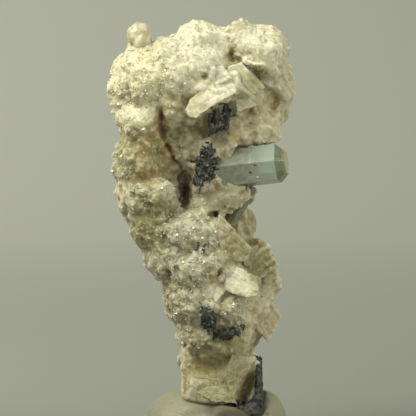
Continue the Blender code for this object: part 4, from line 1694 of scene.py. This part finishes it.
def make_schorl():
    """Each black tourmaline: broken prisms that come and go in the rock, with pale dust."""
    black = schorl_material("schorl")
    pale = glass_material("schorl_dust", SHADES["schorl dust"], roughness=0.35, transmission=0.0)
    for index, node in enumerate(SCHORL_NODES):
        core = schorl_core(node)
        growth = NEEDLES._replace(seed=NEEDLES.seed + index)
        needles = scatter(node, core, growth, upright=True)
        schorl = fused(node + "_skin", [core, needles], SCHORL_GRAIN * MM)
        points = vertex_array(schorl.data) / MM
        relief = SCHORL_RELIEF * fractal_field(points * GROOVE_STRETCH, scale=0.5, octaves=3)
        relief += SCHORL_LUMPS * fractal_field(points, scale=1.4, octaves=3, shift=8.0)
        push_out(schorl.data, points, relief)
        dusty = smooth_step(noise_field(points, scale=1.1, shift=9.0) + 0.2)
        store_values(schorl.data, "dusty", dusty)
        if node != SEAM_NODE:
            dust = scatter(node + "_dust", schorl, DUST._replace(seed=DUST.seed + index))
            finish_piece(dust, pale, "feldspar", smooth=False)
        finish_piece(schorl, black, "schorl", node)


def make_putty(settings):
    bm = merged_copy("mounting_putty")
    add_shapes(bm, PUTTY_FILLING)
    putty = object_from("mounting_putty_skin", bm)
    remesh(putty, PUTTY_GRAIN * MM)
    points = vertex_array(putty.data) / MM
    free = smooth_step(points[:, 2] / 0.8)
    relaxed = relax(putty.data, points, share=0.5, rounds=14)
    points = points + (relaxed - points) * free[:, None]
    relief = PUTTY_LUMPS * noise_field(points, scale=4.0)
    relief += PUTTY_RELIEF * fractal_field(points, scale=1.6, octaves=3)
    points, _ = push_out(putty.data, points, relief * free)
    # Where the putty gets its painted shadow and its brown speck.
    store_values(putty.data, "shadows_and_speck", patch_weight(points, PUTTY_SHADOWS_AND_SPECK, edge=0.8))
    finish_piece(putty, putty_material(settings), "putty", "mounting_putty")


# Stage


def camera_spot(settings):
    rise = settings.camera_height
    back = Vector((0.0, -math.cos(rise), math.sin(rise)))
    return AIM + back * settings.camera_distance


def aim_at(obj, target):
    obj.rotation_euler = (target - obj.location).to_track_quat("-Z", "Y").to_euler()


def make_camera(settings):
    data = bpy.data.cameras.new("camera")
    camera = new_object("camera", data)
    camera.location = camera_spot(settings)
    aim_at(camera, AIM)
    data.sensor_width = SENSOR_WIDTH
    data.lens = data.sensor_width * settings.camera_distance / settings.view_width
    data.clip_start = 0.01
    bpy.context.scene.camera = camera


def make_lamp(name, spot, size, power):
    data = bpy.data.lights.new(name, "AREA")
    data.shape = "DISK"
    data.size = size
    data.energy = power
    data.color = LAMP_COLOUR
    lamp = new_object(name, data)
    lamp.location = spot
    aim_at(lamp, AIM)


def make_backdrop(settings):
    """A floor on all sides, and a narrow paper sweep that curves up behind the specimen."""
    bm = bmesh.new()
    profile = [(-FLOOR_REACH, 0.0), (SWEEP_START, 0.0)]
    for step in range(1, SWEEP_STEPS + 1):
        angle = math.radians(90.0 * step / SWEEP_STEPS)
        along = SWEEP_START + SWEEP_RADIUS * math.sin(angle)
        profile.append((along, SWEEP_RADIUS * (1.0 - math.cos(angle))))
    profile.append((SWEEP_START + SWEEP_RADIUS, SWEEP_HEIGHT))
    verts = [bm.verts.new((-SWEEP_HALF_WIDTH, y, z)) for y, z in profile]
    edges = [bm.edges.new(pair) for pair in zip(verts, verts[1:])]
    made = bmesh.ops.extrude_edge_only(bm, edges=edges)["geom"]
    far = [part for part in made if isinstance(part, bmesh.types.BMVert)]
    bmesh.ops.translate(bm, vec=(2.0 * SWEEP_HALF_WIDTH, 0.0, 0.0), verts=far)
    floor = bmesh.ops.create_grid(bm, x_segments=1, y_segments=1, size=FLOOR_REACH)["verts"]
    bmesh.ops.translate(bm, vec=(0.0, 0.0, -PAPER_THICKNESS), verts=floor)
    backdrop = object_from("backdrop", bm)
    shade_smooth(backdrop.data)
    backdrop.data.materials.append(backdrop_material(settings))


def make_world():
    world = bpy.data.worlds.new("studio")
    bpy.context.scene.world = world
    world.use_nodes = True
    background = world.node_tree.nodes["Background"]
    background.inputs["Color"].default_value = (*LAMP_COLOUR, 1.0)
    background.inputs["Strength"].default_value = STUDIO_LIGHT


# Operators


class SPECIMEN_OT_rock(bpy.types.Operator):
    """Builds the feldspar rock with its crust, splinters and sparkling faces"""

    bl_idname = "specimen.rock"
    bl_label = "Rock and crust"

    def execute(self, context):
        rock = make_rock(context.scene.specimen_settings)
        make_facets(rock)
        make_crust(rock)
        make_sparkles(rock)
        return {"FINISHED"}


class SPECIMEN_OT_beryls(bpy.types.Operator):
    """Builds the aquamarine, what is sealed in it and the grey beryl"""

    bl_idname = "specimen.beryls"
    bl_label = "Beryl crystals"

    def execute(self, context):
        make_aquamarine(context.scene.specimen_settings)
        make_veils()
        make_inclusions()
        make_side_beryl()
        return {"FINISHED"}


class SPECIMEN_OT_knob(bpy.types.Operator):
    """Builds the round glassy knob on the crown"""

    bl_idname = "specimen.knob"
    bl_label = "Hyalite knob"

    def execute(self, context):
        make_knob()
        return {"FINISHED"}


class SPECIMEN_OT_schorl(bpy.types.Operator):
    """Builds the black tourmalines"""

    bl_idname = "specimen.schorl"
    bl_label = "Black tourmaline"

    def execute(self, context):
        make_schorl()
        return {"FINISHED"}


class SPECIMEN_OT_putty(bpy.types.Operator):
    """Builds the mounting putty with its finger marks"""

    bl_idname = "specimen.putty"
    bl_label = "Mounting putty"

    def execute(self, context):
        make_putty(context.scene.specimen_settings)
        return {"FINISHED"}


class SPECIMEN_OT_stage(bpy.types.Operator):
    """Sets up the camera, lamps, backdrop and world"""

    bl_idname = "specimen.stage"
    bl_label = "Stage"

    def execute(self, context):
        settings = context.scene.stage_settings
        make_camera(settings)
        make_lamp("key", KEY_SPOT, KEY_SIZE, settings.key_power)
        make_lamp("fill", FILL_SPOT, FILL_SIZE, settings.fill_power)
        make_backdrop(settings)
        make_world()
        context.scene.view_settings.view_transform = "Standard"
        return {"FINISHED"}


class SPECIMEN_PT_panel(bpy.types.Panel):
    """Lists the specimen's settings and operators"""

    bl_idname = "SPECIMEN_PT_panel"
    bl_label = "Aquamarine specimen"
    bl_space_type = "VIEW_3D"
    bl_region_type = "UI"
    bl_category = "Specimen"

    def draw(self, context):
        layout = self.layout
        for settings in (context.scene.specimen_settings, context.scene.stage_settings):
            box = layout.box()
            for name in settings.__annotations__:
                box.prop(settings, name)
        for operator in OPERATORS:
            layout.operator(operator.bl_idname)


OPERATORS = (
    SPECIMEN_OT_stage,
    SPECIMEN_OT_rock,
    SPECIMEN_OT_beryls,
    SPECIMEN_OT_knob,
    SPECIMEN_OT_schorl,
    SPECIMEN_OT_putty,
)
CLASSES = (SpecimenSettings, StageSettings, SPECIMEN_PT_panel) + OPERATORS


def register():
    for item in CLASSES:
        bpy.utils.register_class(item)
    bpy.types.Scene.specimen_settings = PointerProperty(type=SpecimenSettings)
    bpy.types.Scene.stage_settings = PointerProperty(type=StageSettings)


def unregister():
    del bpy.types.Scene.stage_settings
    del bpy.types.Scene.specimen_settings
    for item in reversed(CLASSES):
        bpy.utils.unregister_class(item)


def main():
    register()
    for operator in OPERATORS:
        group, name = operator.bl_idname.split(".")
        getattr(getattr(bpy.ops, group), name)()


if __name__ == "__main__":
    main()
